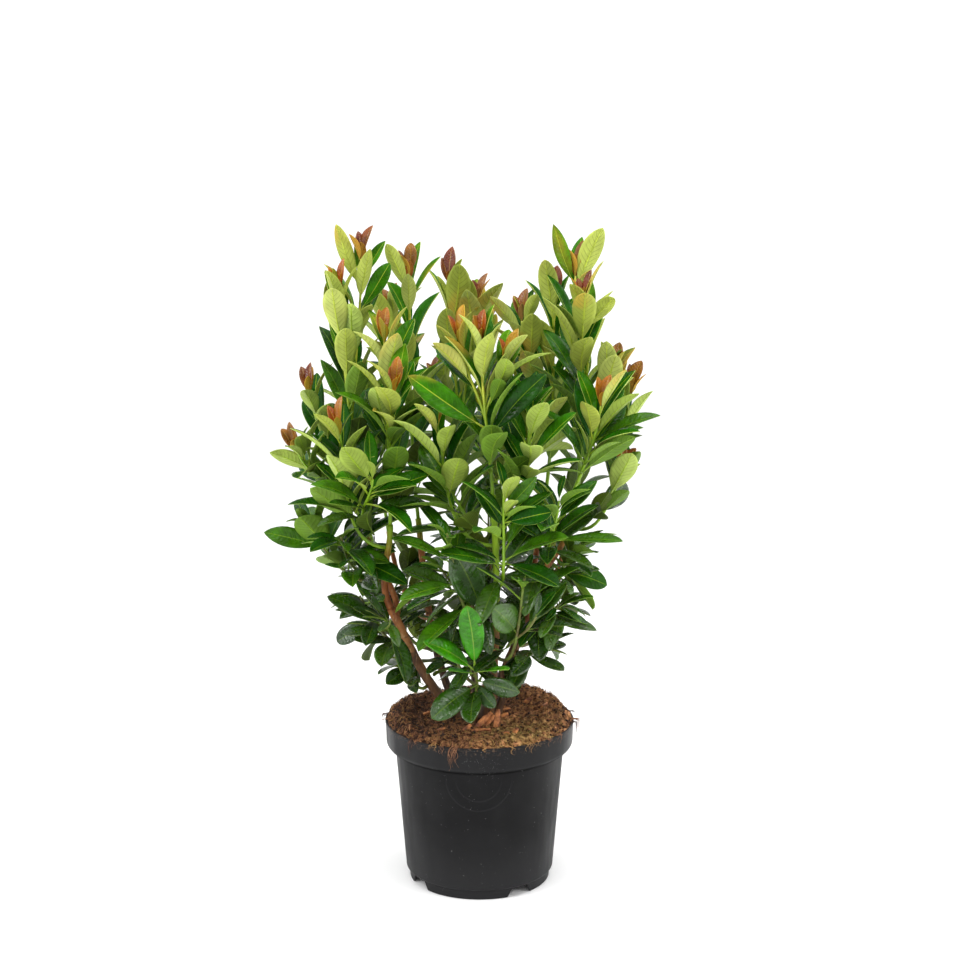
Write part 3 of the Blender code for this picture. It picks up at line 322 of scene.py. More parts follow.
        Shoot(0.34, (0.092, 0.156, 0.450), 9, 0.092, 1.0))),
    Mass("foliage_middle", "stem_centre_back", 0.56, (
        Shoot(0, (0.034, 0.036, 0.690), 12, 0.102, 0.5),
        Shoot(0.30, (-0.044, 0.018, 0.570), 9, 0.096, 0.6))),
)


class Axis:
    """A smooth line from a start to an end with a lean at each, and a radius that tapers."""

    def __init__(self, start, start_lean, end, end_lean, start_radius, end_radius):
        self.start = Vector(start)
        self.end = Vector(end)
        self.length = (self.end - self.start).length
        self.near = self.start + Vector(start_lean).normalized() * self.length * CURVE_PULL
        self.far = self.end - Vector(end_lean).normalized() * self.length * CURVE_PULL
        self.start_radius = start_radius
        self.end_radius = end_radius

    def point(self, share):
        rest = 1.0 - share
        return (self.start * rest ** 3 + self.near * 3 * rest * rest * share
                + self.far * 3 * rest * share * share + self.end * share ** 3)

    def lean(self, share):
        rest = 1.0 - share
        return ((self.near - self.start) * rest * rest + (self.far - self.near) * 2 * rest * share
                + (self.end - self.far) * share * share).normalized()

    def radius(self, share):
        return self.start_radius + (self.end_radius - self.start_radius) * share


def square_to(direction, hint):
    """A unit vector square to the direction, as near to the hint as it goes."""
    side = hint - direction * hint.dot(direction)
    if side.length < 1e-6:
        side = direction.orthogonal()
    return side.normalized()


def mix(first, second, share):
    return first + (second - first) * share


def smooth_step(value, low, high):
    share = min(max((value - low) / (high - low), 0.0), 1.0)
    return share * share * (3.0 - 2.0 * share)


def leave_parent(parent, at, target):
    """Where a limb or twig starts on its parent and how it leans, the clear gap included."""
    if at >= 1.0:
        lean = parent.lean(1.0)
        return parent.end + lean * CLEAR, lean
    point = parent.point(at)
    outward = square_to(parent.lean(at), target - point)
    return point + outward * (parent.radius(at) + CLEAR), outward


def limb_axes():
    """The line of every limb, by name, in the order of the table."""
    axes = {}
    for limb in LIMBS:
        tip = Vector(limb.tip)
        if limb.parent is None:
            start = Vector((*limb.foot, SOIL_LEVEL + CLEAR))
            lean = limb.foot_lean
        else:
            start, lean = leave_parent(axes[limb.parent], limb.at, tip)
        axes[limb.name] = Axis(start, lean, tip, limb.tip_lean, limb.foot_radius, limb.tip_radius)
    return axes


def shoot_axes(mass, limbs):
    """The lines of a mass's shoots: the first leaves the limb, the rest leave the first."""
    axes = []
    for shoot in mass.shoots:
        tip = Vector(shoot.tip)
        if not axes:
            start, lean = leave_parent(limbs[mass.parent], mass.at, tip)
            foot_radius = TWIG_FOOT_RADIUS
        else:
            start = twig_middle(axes[0], shoot.at)
            lean = axes[0].lean(shoot.at) + (tip - start).normalized()
            foot_radius = axes[0].radius(shoot.at) * 0.9
        rise = (tip - start).normalized() + UP * (1.5 - 1.1 * shoot.lay)
        axes.append(Axis(start, lean, tip, rise, foot_radius, TWIG_TIP_RADIUS))
    return axes


def rings_along(axis, step):
    """Shares along an axis at which a tube has a ring."""
    count = max(2, round(axis.length / step))
    return [index / count for index in range(count + 1)]


def twig_middle(axis, share):
    """The middle of a shoot's twig, which runs straight from ring to ring."""
    count = len(rings_along(axis, TWIG_RING_STEP)) - 1
    ring = min(int(share * count), count - 1)
    return mix(axis.point(ring / count), axis.point((ring + 1) / count), share * count - ring)


def tube_parts(axis, shares, sides, flat_foot=False, bud=0.0, swell=0.0):
    """Points and faces of a closed tapering tube; swell adds to its radius."""
    points = []
    faces = []
    reference = square_to(axis.lean(0.0), Vector((0.0, -1.0, 0.2)))
    for share in shares:
        lean = axis.lean(share)
        radius = axis.radius(share) + swell
        if flat_foot:
            climb = axis.point(share).z - axis.start.z
            radius *= 1.0 + (FLARE_GAIN - 1.0) * max(0.0, 1.0 - climb / FLARE_LENGTH) ** 2
            if share == 0.0:
                lean = UP
        reference = square_to(lean, reference)
        across = lean.cross(reference)
        for side in range(sides):
            turn = 2.0 * math.pi * side / sides
            spoke = reference * math.cos(turn) + across * math.sin(turn)
            points.append(axis.point(share) + spoke * radius)
    for ring in range(len(shares) - 1):
        for side in range(sides):
            beside = (side + 1) % sides
            low = ring * sides
            faces.append((low + side, low + beside, low + sides + beside))
            faces.append((low + side, low + sides + beside, low + sides + side))
    faces.append(tuple(reversed(range(sides))))
    last = (len(shares) - 1) * sides
    if bud:
        points.append(axis.end + axis.lean(1.0) * bud)
        faces += [(last + side, last + (side + 1) % sides, last + sides) for side in range(sides)]
    else:
        faces.append(tuple(range(last, last + sides)))
    return points, faces


class Leaf:
    """One leaf: where it is rooted, where it points, which way it faces and how it bends."""

    def __init__(self, root, ahead, face, length, slim, bend, fold, age):
        self.root = root
        self.ahead = ahead.normalized()
        self.face = square_to(self.ahead, face)
        self.side = self.ahead.cross(self.face)
        self.length = length
        self.width = length * slim
        self.bend = bend
        self.fold = fold
        self.age = age

    def spot(self, along, across, lift=0.0):
        """A place on the blade: along 0 to 1, across -1 to 1, lift in metres off its middle."""
        drop = -self.bend * along * along * self.length
        raised = abs(across) * self.fold * self.width * 0.5
        return (self.root + self.ahead * (along * self.length)
                + self.side * (across * self.width * 0.5) + self.face * (drop + raised + lift))

    def parts(self, swell=0.0):
        """Points and faces of the closed blade, which is thickest along its middle."""
        half = LEAF_THICKNESS * self.length * 0.5 + swell
        outline = [self.spot(along, across) for along, across in LEAF_OUTLINE]
        points = outline + [self.spot(LEAF_WAIST, 0.0, half), self.spot(LEAF_WAIST, 0.0, -half)]
        above = len(outline)
        faces = []
        for corner in range(above):
            beside = (corner + 1) % above
            faces.append((corner, beside, above))
            faces.append((beside, corner, above + 1))
        return points, faces


class Crowd:
    """What already stands in the crown, to test a new leaf against."""

    def __init__(self):
        self.members = []

    def add(self, points, faces, owner):
        middle = sum(points, Vector()) / len(points)
        reach = max((point - middle).length for point in points)
        self.members.append((middle, reach, BVHTree.FromPolygons(points, faces), owner))

    def is_free(self, points, faces, owner):
        middle = sum(points, Vector()) / len(points)
        reach = max((point - middle).length for point in points)
        tree = BVHTree.FromPolygons(points, faces)
        for other_middle, other_reach, other_tree, other_owner in self.members:
            if other_owner == owner or (other_middle - middle).length > other_reach + reach:
                continue
            if tree.overlap(other_tree):
                return False
        return True


def propose_leaf(axis, shoot, share, turn, rng):
    """A leaf of the growth rule: young ones at the tip stand up, old ones lower down lie flat."""
    age = 1.0 - share
    lean = axis.lean(share)
    spread = math.radians(mix(mix(15.0, 37.0, age ** 0.8), mix(34.0, 102.0, age ** 0.7), shoot.lay)
                          + rng.uniform(-7.0, 7.0))
    out = square_to(lean, Vector((0.0, -1.0, 0.0)))
    out = Matrix.Rotation(math.radians(turn), 3, lean) @ out
    ahead = lean * math.cos(spread) + out * math.sin(spread)
    face = lean * math.sin(spread) - out * math.cos(spread)
    ahead = (ahead + UP * mix(LEAF_LIFT, -LEAF_DROOP, shoot.lay)).normalized()
    face = square_to(ahead, mix(face, UP, LEAF_SUN * shoot.lay))
    face = Matrix.Rotation(math.radians(rng.uniform(-22.0, 22.0)), 3, ahead) @ face
    grown = 0.42 + 0.36 * smooth_step(age, 0.0, 0.09) + 0.22 * smooth_step(age, 0.09, 0.34)
    length = shoot.size * grown * rng.uniform(0.88, 1.12)
    bend = mix(0.12, 0.20, age) * rng.uniform(0.3, 1.4) + 0.08 * shoot.lay
    fold = rng.uniform(0.10, 0.34) * mix(1.3, 1.0, age)
    slim = LEAF_SLIM * mix(0.78, 1.0, smooth_step(age, 0.0, 0.3)) * rng.uniform(0.90, 1.10)
    return Leaf(twig_middle(axis, share), ahead, face, length, slim, bend, fold, age)


def placed_leaf(axis, placed, roll):
    """A leaf that stands out, with its root on the shoot and its tip where the table says."""
    root = twig_middle(axis, placed.at)
    ahead = Vector(placed.tip) - root
    age = 1.0 - placed.at
    face = square_to(ahead.normalized(), Vector(placed.facing))
    face = Matrix.Rotation(math.radians(roll), 3, ahead) @ face
    length = ahead.length
    bend = mix(0.02, 0.06, age)
    tip = ahead + face * bend * length
    return Leaf(root, tip, face, length, placed.slim, bend, mix(0.26, 0.16, age), age)


def inside_box(points):
    return all(low <= value <= high for point in points
               for low, value, high in zip(CROWN_LOW, point, CROWN_HIGH))


def inside_crown(points):
    """Whether all points are within the crown, which is an oval at each height."""
    for point in points:
        for low, high in zip(CROWN_REACH, CROWN_REACH[1:]):
            if point.z <= high[0]:
                break
        share = (point.z - low[0]) / (high[0] - low[0])
        left = mix(low[1], high[1], share)
        right = mix(low[2], high[2], share)
        half = (right - left) * 0.5
        across = (point.x - (left + right) * 0.5) / half
        if across * across + (point.y / (half * CROWN_DEPTH)) ** 2 > 1.0:
            return False
    return inside_box(points)


def grow():
    """Grow the plant: the limbs' lines, each mass's shoot lines and leaves by name, and its room."""
    limbs = limb_axes()
    crowd = Crowd()
    for limb in LIMBS:
        axis = limbs[limb.name]
        parts = tube_parts(axis, rings_along(axis, LIMB_RING_STEP), limb.sides,
                           limb.parent is None, swell=BLADE_CLEAR)
        crowd.add(*parts, limb.name)
    for name, low, high in BARE_FEET:
        feet = [limbs[name].point(mix(low, high, step / BARE_STEPS)) for step in range(BARE_STEPS + 1)]
        sheet = [corner for foot in feet for corner in (foot, foot + BARE_SIGHT)]
        crowd.add(sheet, [(row, row + 1, row + 3, row + 2) for row in range(0, 2 * BARE_STEPS, 2)], None)
    spaces = KDTree(4000)
    shoots = {}
    for number, mass in enumerate(MASSES):
        shoots[mass.name] = shoot_axes(mass, limbs)
        for index, axis in enumerate(shoots[mass.name]):
            parts = tube_parts(axis, rings_along(axis, TWIG_RING_STEP), TWIG_SIDES, bud=BUD_LENGTH,
                               swell=BLADE_CLEAR)
            crowd.add(*parts, (mass.name, index))
            for step in range(21):
                spaces.insert(axis.point(step / 20.0), number)
    spaces.balance()
    grown = {mass.name: (shoots[mass.name], place_leaves(crowd, mass, shoots[mass.name]))
             for mass in MASSES}
    for number, mass in enumerate(MASSES):
        leaves = grown[mass.name][1]
        for index, (shoot, axis) in enumerate(zip(mass.shoots, shoots[mass.name])):
            rng = random.Random(1000 * number + index)
            first = 0.16 if index == 0 else 0.24
            for place in range(shoot.leaves):
                share = mix(first, 0.985, (place / (shoot.leaves - 1)) ** 0.9)
                turn = place * GOLDEN_TURN + rng.uniform(0.0, 30.0) + index * 70.0
                leaf = find_room(crowd, spaces, number, (mass.name, index), axis, shoot, share,
                                 turn, rng)
                if leaf:
                    leaves.append(leaf)
    return Plant(limbs, grown, crowd, spaces)


def place_leaves(crowd, mass, axes):
    """The placed leaves of a mass that stand clear, each rolled a little where it must be."""
    leaves = []
    for index, (shoot, axis) in enumerate(zip(mass.shoots, axes)):
        for placed in shoot.placed:
            for roll in PLACED_ROLLS:
                leaf = placed_leaf(axis, placed, roll)
                points, faces = leaf.parts(swell=BLADE_CLEAR * 0.5)
                if inside_box(points) and crowd.is_free(points, faces, (mass.name, index)):
                    crowd.add(points, faces, None)
                    leaves.append(leaf)
                    break
    return leaves


def find_room(crowd, spaces, number, owner, axis, shoot, share, turn, rng):
    """Turn and try a leaf until it stands clear of everything else, or give it up."""
    for attempt in range(TRIES):
        swing = turn + (attempt + 1) // 2 * 17.0 * (-1) ** attempt
        leaf = propose_leaf(axis, shoot, share, swing, rng)
        points, faces = leaf.parts(swell=BLADE_CLEAR * 0.5)
        middle = leaf.spot(LEAF_WAIST, 0.0)
        near = spaces.find(middle)
        if near[1] != number:
            own = min((hit[2] for hit in spaces.find_range(middle, near[2] + SPACE_SLACK)
                       if hit[1] == number), default=None)
            if own is None:
                continue
        if inside_crown(points) and crowd.is_free(points, faces, owner):
            crowd.add(points, faces, None)
            return leaf
    return None


def soil_height(x, y):
    """Top of the soil: flat round the stems, heaped against the rim at the left and the back right."""
    radius = math.hypot(x, y)
    heap = 0.0
    for azimuth, height, spread in SOIL_HEAPS:
        turn = (math.degrees(math.atan2(y, x)) - azimuth + 180.0) % 360.0 - 180.0
        heap += height * math.exp(-(turn / spread) ** 2)
    rise = smooth_step(radius, SOIL_FLAT_RADIUS, SOIL_MOUND_RADIUS - 0.012)
    outside = smooth_step(radius, SOIL_MOUND_RADIUS - 0.006, RIM_RADIUS - 0.003)
    return mix(SOIL_LEVEL + heap * rise, SOIL_EDGE_Z + heap * SOIL_HEAP_EDGE, outside)


# Camera and light
CAMERA_PLACE = (0.0007, -2.881, 1.212)
CAMERA_DROP = 11.74        # degrees below the horizon
LENS = 75.0
SENSOR = 36.0
SKY = 1.20
SKY_FRONT = 0.420          # how bright the room is behind the camera, against the white at the back
FLOOR_WIDTH = 9.0

# Blades
BLADE_ROWS = 12
BLADE_COLUMNS = 6
STALK_SHARE = 0.14         # part of a leaf's length that is bare stalk
BLADE_THICKNESS = 0.0006
BLADE_BASE = (0.80, 0.92)  # how gently the outline opens from the stalk, on low and on high leaves
BLADE_TIP = (0.64, 0.76)   # how bluntly it closes at the tip
RIB_ROWS = 8
RIB_SIDES = 4
STALK_RADIUS = 0.0015
VEIN_PAIRS = 11.0
SHOOT_SIDES = 8
SHOOT_RING_STEP = 0.009
BARK_SIDES = 18
BARK_RING_STEP = 0.0042

# Kinds of leaf: upper and lower side, in two or three shades each, from the lowest to the youngest
Kind = namedtuple("Kind", "name dull shine uppers unders vein blush", defaults=(None,))
KINDS = (
    Kind("old", 0.26, 0.66, ((28, 60, 7), (39, 73, 10), (54, 90, 13)),
         ((80, 98, 26), (90, 106, 30), (68, 88, 24)), (108, 138, 30)),
    Kind("grown", 0.26, 0.18, ((27, 72, 6), (39, 86, 8), (56, 100, 10)),
         ((106, 141, 44), (118, 152, 54), (96, 130, 38)), (134, 172, 36)),
    Kind("upper", 0.24, 0.08, ((21, 70, 3), (30, 83, 4), (42, 95, 6)),
         ((162, 183, 82), (170, 191, 92), (152, 174, 72)), (172, 202, 50)),
    Kind("young", 0.26, 0.08, ((36, 92, 5), (49, 103, 6), (70, 116, 9)),
         ((176, 189, 86), (181, 192, 98), (166, 179, 74)), (190, 207, 60), (196, 152, 58)),
    Kind("golden", 0.30, 0.16, ((130, 106, 16), (144, 94, 20), (108, 110, 16)),
         ((182, 160, 54), (190, 146, 52), (172, 166, 60)), (200, 184, 60), (176, 100, 34)),
    Kind("sprout", 0.24, 0.26, ((52, 124, 4), (66, 136, 6), (45, 114, 5)),
         ((104, 154, 46), (116, 162, 52), (96, 144, 42)), (150, 186, 60)),
    Kind("bronze", 0.26, 0.40, ((110, 56, 12), (124, 78, 16), (100, 42, 18)),
         ((158, 112, 32), (146, 84, 24), (170, 134, 40)), (184, 144, 46)),
    Kind("orange", 0.26, 0.40, ((152, 92, 14), (160, 118, 20), (144, 70, 16)),
         ((198, 158, 44), (192, 166, 50), (192, 134, 36)), (204, 178, 54)),
    Kind("rose", 0.26, 0.40, ((122, 66, 36), (112, 52, 32), (130, 82, 42)),
         ((162, 118, 66), (150, 100, 58), (166, 128, 70)), (178, 146, 64)),
)

# Colour of the little leaves at the tip of each shoot that shows one
TIP_KINDS = {
    ("foliage_left_high", 0): "bronze", ("foliage_left_high", 1): "orange",
    ("foliage_back_left_high", 0): "bronze", ("foliage_back_left_high", 1): "bronze",
    ("foliage_left_front", 0): "orange", ("foliage_left_front", 1): "orange",
    ("foliage_left_outer", 0): "bronze", ("foliage_left_outer", 1): "bronze",
    ("foliage_left_middle", 0): "orange", ("foliage_centre_back", 0): "bronze",
    ("foliage_centre_back", 1): "rose", ("foliage_centre_front", 0): "orange",
    ("foliage_centre_front", 1): "orange", ("foliage_centre_front", 2): "orange",
    ("foliage_back_right_high", 0): "bronze", ("foliage_back_right_high", 1): "rose",
    ("foliage_right_high", 0): "bronze", ("foliage_right_high", 1): "bronze",
    ("foliage_right_front", 0): "orange", ("foliage_right_front", 1): "bronze",
    ("foliage_right_outer", 0): "bronze", ("foliage_right_outer", 1): "orange",
    ("foliage_back_left", 0): "bronze", ("foliage_back_left", 1): "orange",
    ("foliage_back_right", 0): "bronze", ("foliage_back_right", 1): "orange",
    ("foliage_back_centre", 0): "bronze", ("foliage_back_centre", 1): "orange",
    ("foliage_back_centre", 2): "bronze",
}
# The little leaves round a tip: degrees round the shoot from the front, degrees off it, and size
Tip = namedtuple("Tip", "turn spread size")
TIPS = (Tip(145.0, 12.0, 1.10), Tip(222.0, 16.0, 0.92), Tip(20.0, 7.0, 0.64))
GREEN_STEM = "stem_centre_front"
FINE_LEAVES = 10
FINE_SIZE = 0.72
GOLDEN_LENGTH = 0.058      # new leaves are golden until they are this long
BLUSH_GRAIN = 11.0         # blushed spots of the crown, in spots a metre
BLUSH_FROM = (0.64, 0.76)  # heights between which the blush sets in
TIP_LEAF_LENGTH = 0.050


def linear(colour):
    """A colour of 0 to 255 steps as the shader reads it."""
    shares = [step / 255.0 for step in colour]
    return tuple(share / 12.92 if share < 0.04045 else ((share + 0.055) / 1.055) ** 2.4
                 for share in shares)


class Finish:
    """A material under construction, with the few node calls that the finishes share."""

    def __init__(self, name, colour, roughness, specular=0.5):
        self.material = bpy.data.materials.new(name)
        self.material.use_nodes = True
        self.nodes = self.material.node_tree.nodes
        self.links = self.material.node_tree.links
        self.shader = self.nodes["Principled BSDF"]
        self.shader.inputs["Base Color"].default_value = (*linear(colour), 1.0)
        self.shader.inputs["Roughness"].default_value = roughness
        self.shader.inputs["Specular IOR Level"].default_value = specular
        self.places = self.nodes.new("ShaderNodeTexCoord")

    def grain(self, scale, detail=3.0, stretch=None):
        """Soft noise over the piece's own coordinates, scale in bumps a metre."""
        pattern = self.nodes.new("ShaderNodeTexNoise")
        pattern.inputs["Scale"].default_value = scale
        pattern.inputs["Detail"].default_value = detail
        source = self.places.outputs["Object"]
        if stretch:
            mapping = self.nodes.new("ShaderNodeMapping")
            mapping.inputs["Scale"].default_value = stretch
            self.links.new(source, mapping.inputs["Vector"])
            source = mapping.outputs["Vector"]
        self.links.new(source, pattern.inputs["Vector"])
        return pattern.outputs["Fac"]

    def band(self, value, low, high, bottom=0.0, top=1.0):
        """The value spread from low..high to bottom..top, smoothly."""
        spread = self.nodes.new("ShaderNodeMapRange")
        spread.interpolation_type = "SMOOTHSTEP"
        for name, number in (("From Min", low), ("From Max", high), ("To Min", bottom), ("To Max", top)):
            spread.inputs[name].default_value = number
        self.links.new(value, spread.inputs["Value"])
        return spread.outputs["Result"]

    def sum(self, kind, first, second, third=None):
        """One arithmetic step; each side is a socket or a number."""
        step = self.nodes.new("ShaderNodeMath")
        step.operation = kind
        for index, side in enumerate((first, second, third)):
            if side is None:
                continue
            if isinstance(side, (int, float)):
                step.inputs[index].default_value = side
            else:
                self.links.new(side, step.inputs[index])
        return step.outputs["Value"]

    def blend(self, share, first, second):
        """Two colours, each a socket or 0 to 255 steps, mixed by a share."""
        mixer = self.nodes.new("ShaderNodeMix")
        mixer.data_type = "RGBA"
        self.links.new(share, mixer.inputs["Factor"])
        for socket, side in ((mixer.inputs[6], first), (mixer.inputs[7], second)):
            if isinstance(side, tuple):
                socket.default_value = (*linear(side), 1.0)
            else:
                self.links.new(side, socket)
        return mixer.outputs[2]

    def colour(self, socket):
        self.links.new(socket, self.shader.inputs["Base Color"])

    def roughness(self, socket):
        self.links.new(socket, self.shader.inputs["Roughness"])

    def gap_to(self, place):
        """How far a point of the surface is from a place."""
        gap = self.nodes.new("ShaderNodeVectorMath")
        gap.operation = "DISTANCE"
        gap.inputs[1].default_value = place
        self.links.new(self.places.outputs["Object"], gap.inputs[0])
        return gap.outputs["Value"]

    def near(self, place, inner, outer):
        """1 within the inner distance of a place, 0 beyond the outer."""
        return self.band(self.gap_to(place), inner, outer, 1.0, 0.0)

    def height(self, axis="Z"):
        """How high a point of the surface is over the floor, or where it is along another axis."""
        spread = self.nodes.new("ShaderNodeSeparateXYZ")
        self.links.new(self.places.outputs["Object"], spread.inputs["Vector"])
        return spread.outputs[axis]

    def line(self, value, middle, inner, outer):
        """1 where the value is within the inner distance of the middle, 0 beyond the outer."""
        return self.band(self.sum("ABSOLUTE", self.sum("SUBTRACT", value, middle), 0.0),
                         inner, outer, 1.0, 0.0)

    def relief(self, height, distance, strength=1.0):
        bump = self.nodes.new("ShaderNodeBump")
        bump.inputs["Distance"].default_value = distance
        bump.inputs["Strength"].default_value = strength
        self.links.new(height, bump.inputs["Height"])
        self.links.new(bump.outputs["Normal"], self.shader.inputs["Normal"])


def shifted(colour, gain):
    return tuple(min(255.0, step * gain) for step in colour)


def leaf_finish(name, colour, vein, dull, shine, upper, blush=None):
    """One side of a leaf: mottled, with a light middle line and side veins that slant to the tip."""
    finish = Finish(name, colour, dull, shine)
    spread = finish.nodes.new("ShaderNodeSeparateXYZ")
    finish.links.new(finish.places.outputs["UV"], spread.inputs["Vector"])
    across = finish.sum("ABSOLUTE", finish.sum("MULTIPLY_ADD", spread.outputs["X"], 2.0, -1.0), 0.0)
    slant = finish.sum("MULTIPLY", finish.sum("POWER", across, 1.3), -1.7)
    run = finish.sum("MULTIPLY_ADD", spread.outputs["Y"], VEIN_PAIRS, slant)
    wave = finish.sum("PINGPONG", run, 0.5)
    fade = finish.band(across, 0.60, 0.95, 1.0, 0.0)
    veins = finish.sum("MULTIPLY", finish.band(wave, 0.0, 0.11, 1.0, 0.0), fade)
    mottling = finish.band(finish.grain(46.0, 3.0), 0.30, 0.70)
    green = finish.blend(mottling, shifted(colour, 0.84 if upper else 0.94), shifted(colour, 1.14 if upper else 1.05))
    if blush:
        patch = finish.band(finish.grain(BLUSH_GRAIN, 1.0), 0.54, 0.64)
        patch = finish.sum("MULTIPLY", patch, finish.band(finish.height(), *BLUSH_FROM, 0.0, 0.60))
        edge = finish.band(spread.outputs["X"], 0.20, 0.85, 0.30, 1.0)
        green = finish.blend(finish.sum("MULTIPLY", patch, edge), green, blush)
    side_vein = shifted(colour, 1.40 if upper else 0.66)
    green = finish.blend(finish.sum("MULTIPLY", veins, 0.28 if upper else 0.75), green, side_vein)
    middle = finish.band(across, 0.018, 0.052, 0.75, 0.0) if upper else finish.band(across, 0.030, 0.080, 0.9, 0.0)
    finish.colour(finish.blend(middle, green, vein))
    quilt = finish.sum("MULTIPLY", finish.sum("MULTIPLY", wave, fade), 0.30 if upper else -0.55)
    height = finish.sum("ADD", quilt, finish.sum("MULTIPLY", finish.grain(420.0, 2.0), 0.12))
    if upper:
        height = finish.sum("ADD", height, finish.band(finish.grain(330.0, 1.0), 0.60, 0.72, 0.0, 0.35))
        finish.roughness(finish.band(finish.grain(62.0, 4.0), 0.44, 0.56, dull * 0.6, dull * 1.6))
    finish.relief(height, 0.0016 if upper else 0.0010)
    return finish.material


def plain_finish(name, colour, dark, roughness, scale, distance):
    """A mottled surface with fine relief, for stalks and shoots."""
    finish = Finish(name, colour, roughness)
    finish.colour(finish.blend(finish.band(finish.grain(scale), 0.35, 0.65), dark, colour))
    finish.relief(finish.grain(scale * 6.0), distance)
    return finish.material


def piece_of(name, shape, materials, replaced=()):
    """A finished mesh as a piece of the plant, riding on the one body."""
    mesh = bpy.data.meshes.new(name)
    shape.to_mesh(mesh)
    shape.free()
    piece = bpy.data.objects.new(name, mesh)
    bpy.context.scene.collection.objects.link(piece)
    for material in materials:
        mesh.materials.append(material)
    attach(piece, "root")
    if replaced:
        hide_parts(*replaced)
    return piece


def rolled_tube(shape, point_at, radius_at, axis_at, rows, sides, material=0):
    """A closed tube: a grid rolled round a line, whose two end rings shrink to its middle."""
    grid = bmesh.ops.create_grid(shape, x_segments=sides, y_segments=rows + 2, size=1.0)
    reference = None
    rings = {}
    for index in range(rows + 3):
        inner = min(max(index - 1, 0), rows)
        share = inner / rows
        lean = axis_at(share)
        reference = square_to(lean, reference or Vector((0.0, -1.0, 0.2)))
        shrink = 0.0 if index in (0, rows + 2) else 1.0
        rings[index] = (point_at(share), reference.copy(), lean.cross(reference), share, shrink)
    for vertex in grid["verts"]:
        row = round((vertex.co.y + 1.0) * 0.5 * (rows + 2))
        turn = round((vertex.co.x + 1.0) * 0.5 * sides) % sides * 2.0 * math.pi / sides
        middle, reference, beside, share, shrink = rings[row]
        radius = radius_at(share, turn) * shrink
        vertex.co = middle + (reference * math.cos(turn) + beside * math.sin(turn)) * radius
    if material:
        for vertex in grid["verts"]:
            for face in vertex.link_faces:
                face.material_index = material


def closed(shape):
    """Merge the seams and poles of rolled shapes, and turn their faces outwards."""
    bmesh.ops.remove_doubles(shape, verts=shape.verts[:], dist=1e-6)
    bmesh.ops.recalc_face_normals(shape, faces=shape.faces[:])
    for face in shape.faces:
        face.smooth = True


def blade_width(share, base, tip):
    """Half the blade's width along its length, as a share of its widest half."""
    widest = base / (base + tip)
    swell = (share / widest) ** base * ((1.0 - share) / (1.0 - widest)) ** tip
    return max(swell, 0.02)


class Blade:
    """The fine form of one leaf: its waves, bow and curl on top of the rule's bend and fold."""

    def __init__(self, leaf, rng):
        self.leaf = leaf
        self.wave = rng.uniform(0.0, 0.022) * leaf.width / leaf.length
        self.beats = rng.uniform(2.0, 3.6)
        self.phase = rng.uniform(0.0, 6.28)
        self.bow = rng.uniform(0.02, 0.09)
        high = smooth_step(leaf.root.z, 0.42, 0.66)
        self.curl = rng.uniform(-0.02, 0.07) + 0.05 * high
        self.crease = rng.uniform(0.0, 0.16) * high
        self.sway = rng.uniform(-0.035, 0.035)
        self.base = mix(*BLADE_BASE, high) + rng.uniform(-0.10, 0.12)
        self.tip = mix(*BLADE_TIP, high) + rng.uniform(-0.12, 0.12)
        self.slim = mix(1.0, 0.94, high) * mix(1.0, 0.92, smooth_step(leaf.root.z, 0.76, 0.86))

    def width(self, share):
        return blade_width(share, self.base, self.tip) * self.slim

    def spot(self, along, across):
        leaf = self.leaf
        blade = max(0.0, (along - STALK_SHARE) / (1.0 - STALK_SHARE))
        side = abs(across)
        lift = self.wave * math.sin(along * 6.28 * self.beats * 0.5 + self.phase + across) * side * side
        lift -= self.curl * blade ** 3
        lift *= leaf.length
        lift += (self.bow * math.sin(math.pi * side) * self.width(blade) + self.crease * side) * leaf.width * 0.5
        sway = self.sway * math.sin(math.pi * along) * leaf.length
        return leaf.spot(along, across, lift) + leaf.side * sway


def add_blade(shape, layer, blade, shade):
    """One blade from a grid, its outline and folds given by the leaf."""
    grid = bmesh.ops.create_grid(shape, x_segments=BLADE_COLUMNS, y_segments=BLADE_ROWS, size=1.0)
    places = {}
    for vertex in grid["verts"]:
        across = vertex.co.x
        share = (vertex.co.y + 1.0) * 0.5
        share = mix(share, 0.5 - 0.5 * math.cos(math.pi * share), 0.6)
        places[vertex] = (across * 0.5 + 0.5, share)
        along = STALK_SHARE + share * (1.0 - STALK_SHARE)
        vertex.co = blade.spot(along, across * blade.width(share))
    faces = {face for vertex in grid["verts"] for face in vertex.link_faces}
    for face in faces:
        face.material_index = shade * 2
        face.smooth = True
        for loop in face.loops:
            loop[layer].uv = places[loop.vert]


def add_rib(shape, blade, material):
    """The stalk of a leaf and the rib that it runs on as, a little proud of the blade."""
    leaf = blade.leaf
    size = min(1.25, leaf.length / 0.085)

    def radius(share, turn):
        stalk = 1.0 - smooth_step(share, 0.0, STALK_SHARE * 1.8)
        return STALK_RADIUS * size * (0.22 + 0.36 * (1.0 - share) + 0.42 * stalk)

    def middle(share):
        return blade.spot(share * 0.965, 0.0) - leaf.face * BLADE_THICKNESS

    rolled_tube(shape, middle, radius, lambda share: leaf.ahead, RIB_ROWS, RIB_SIDES, material)


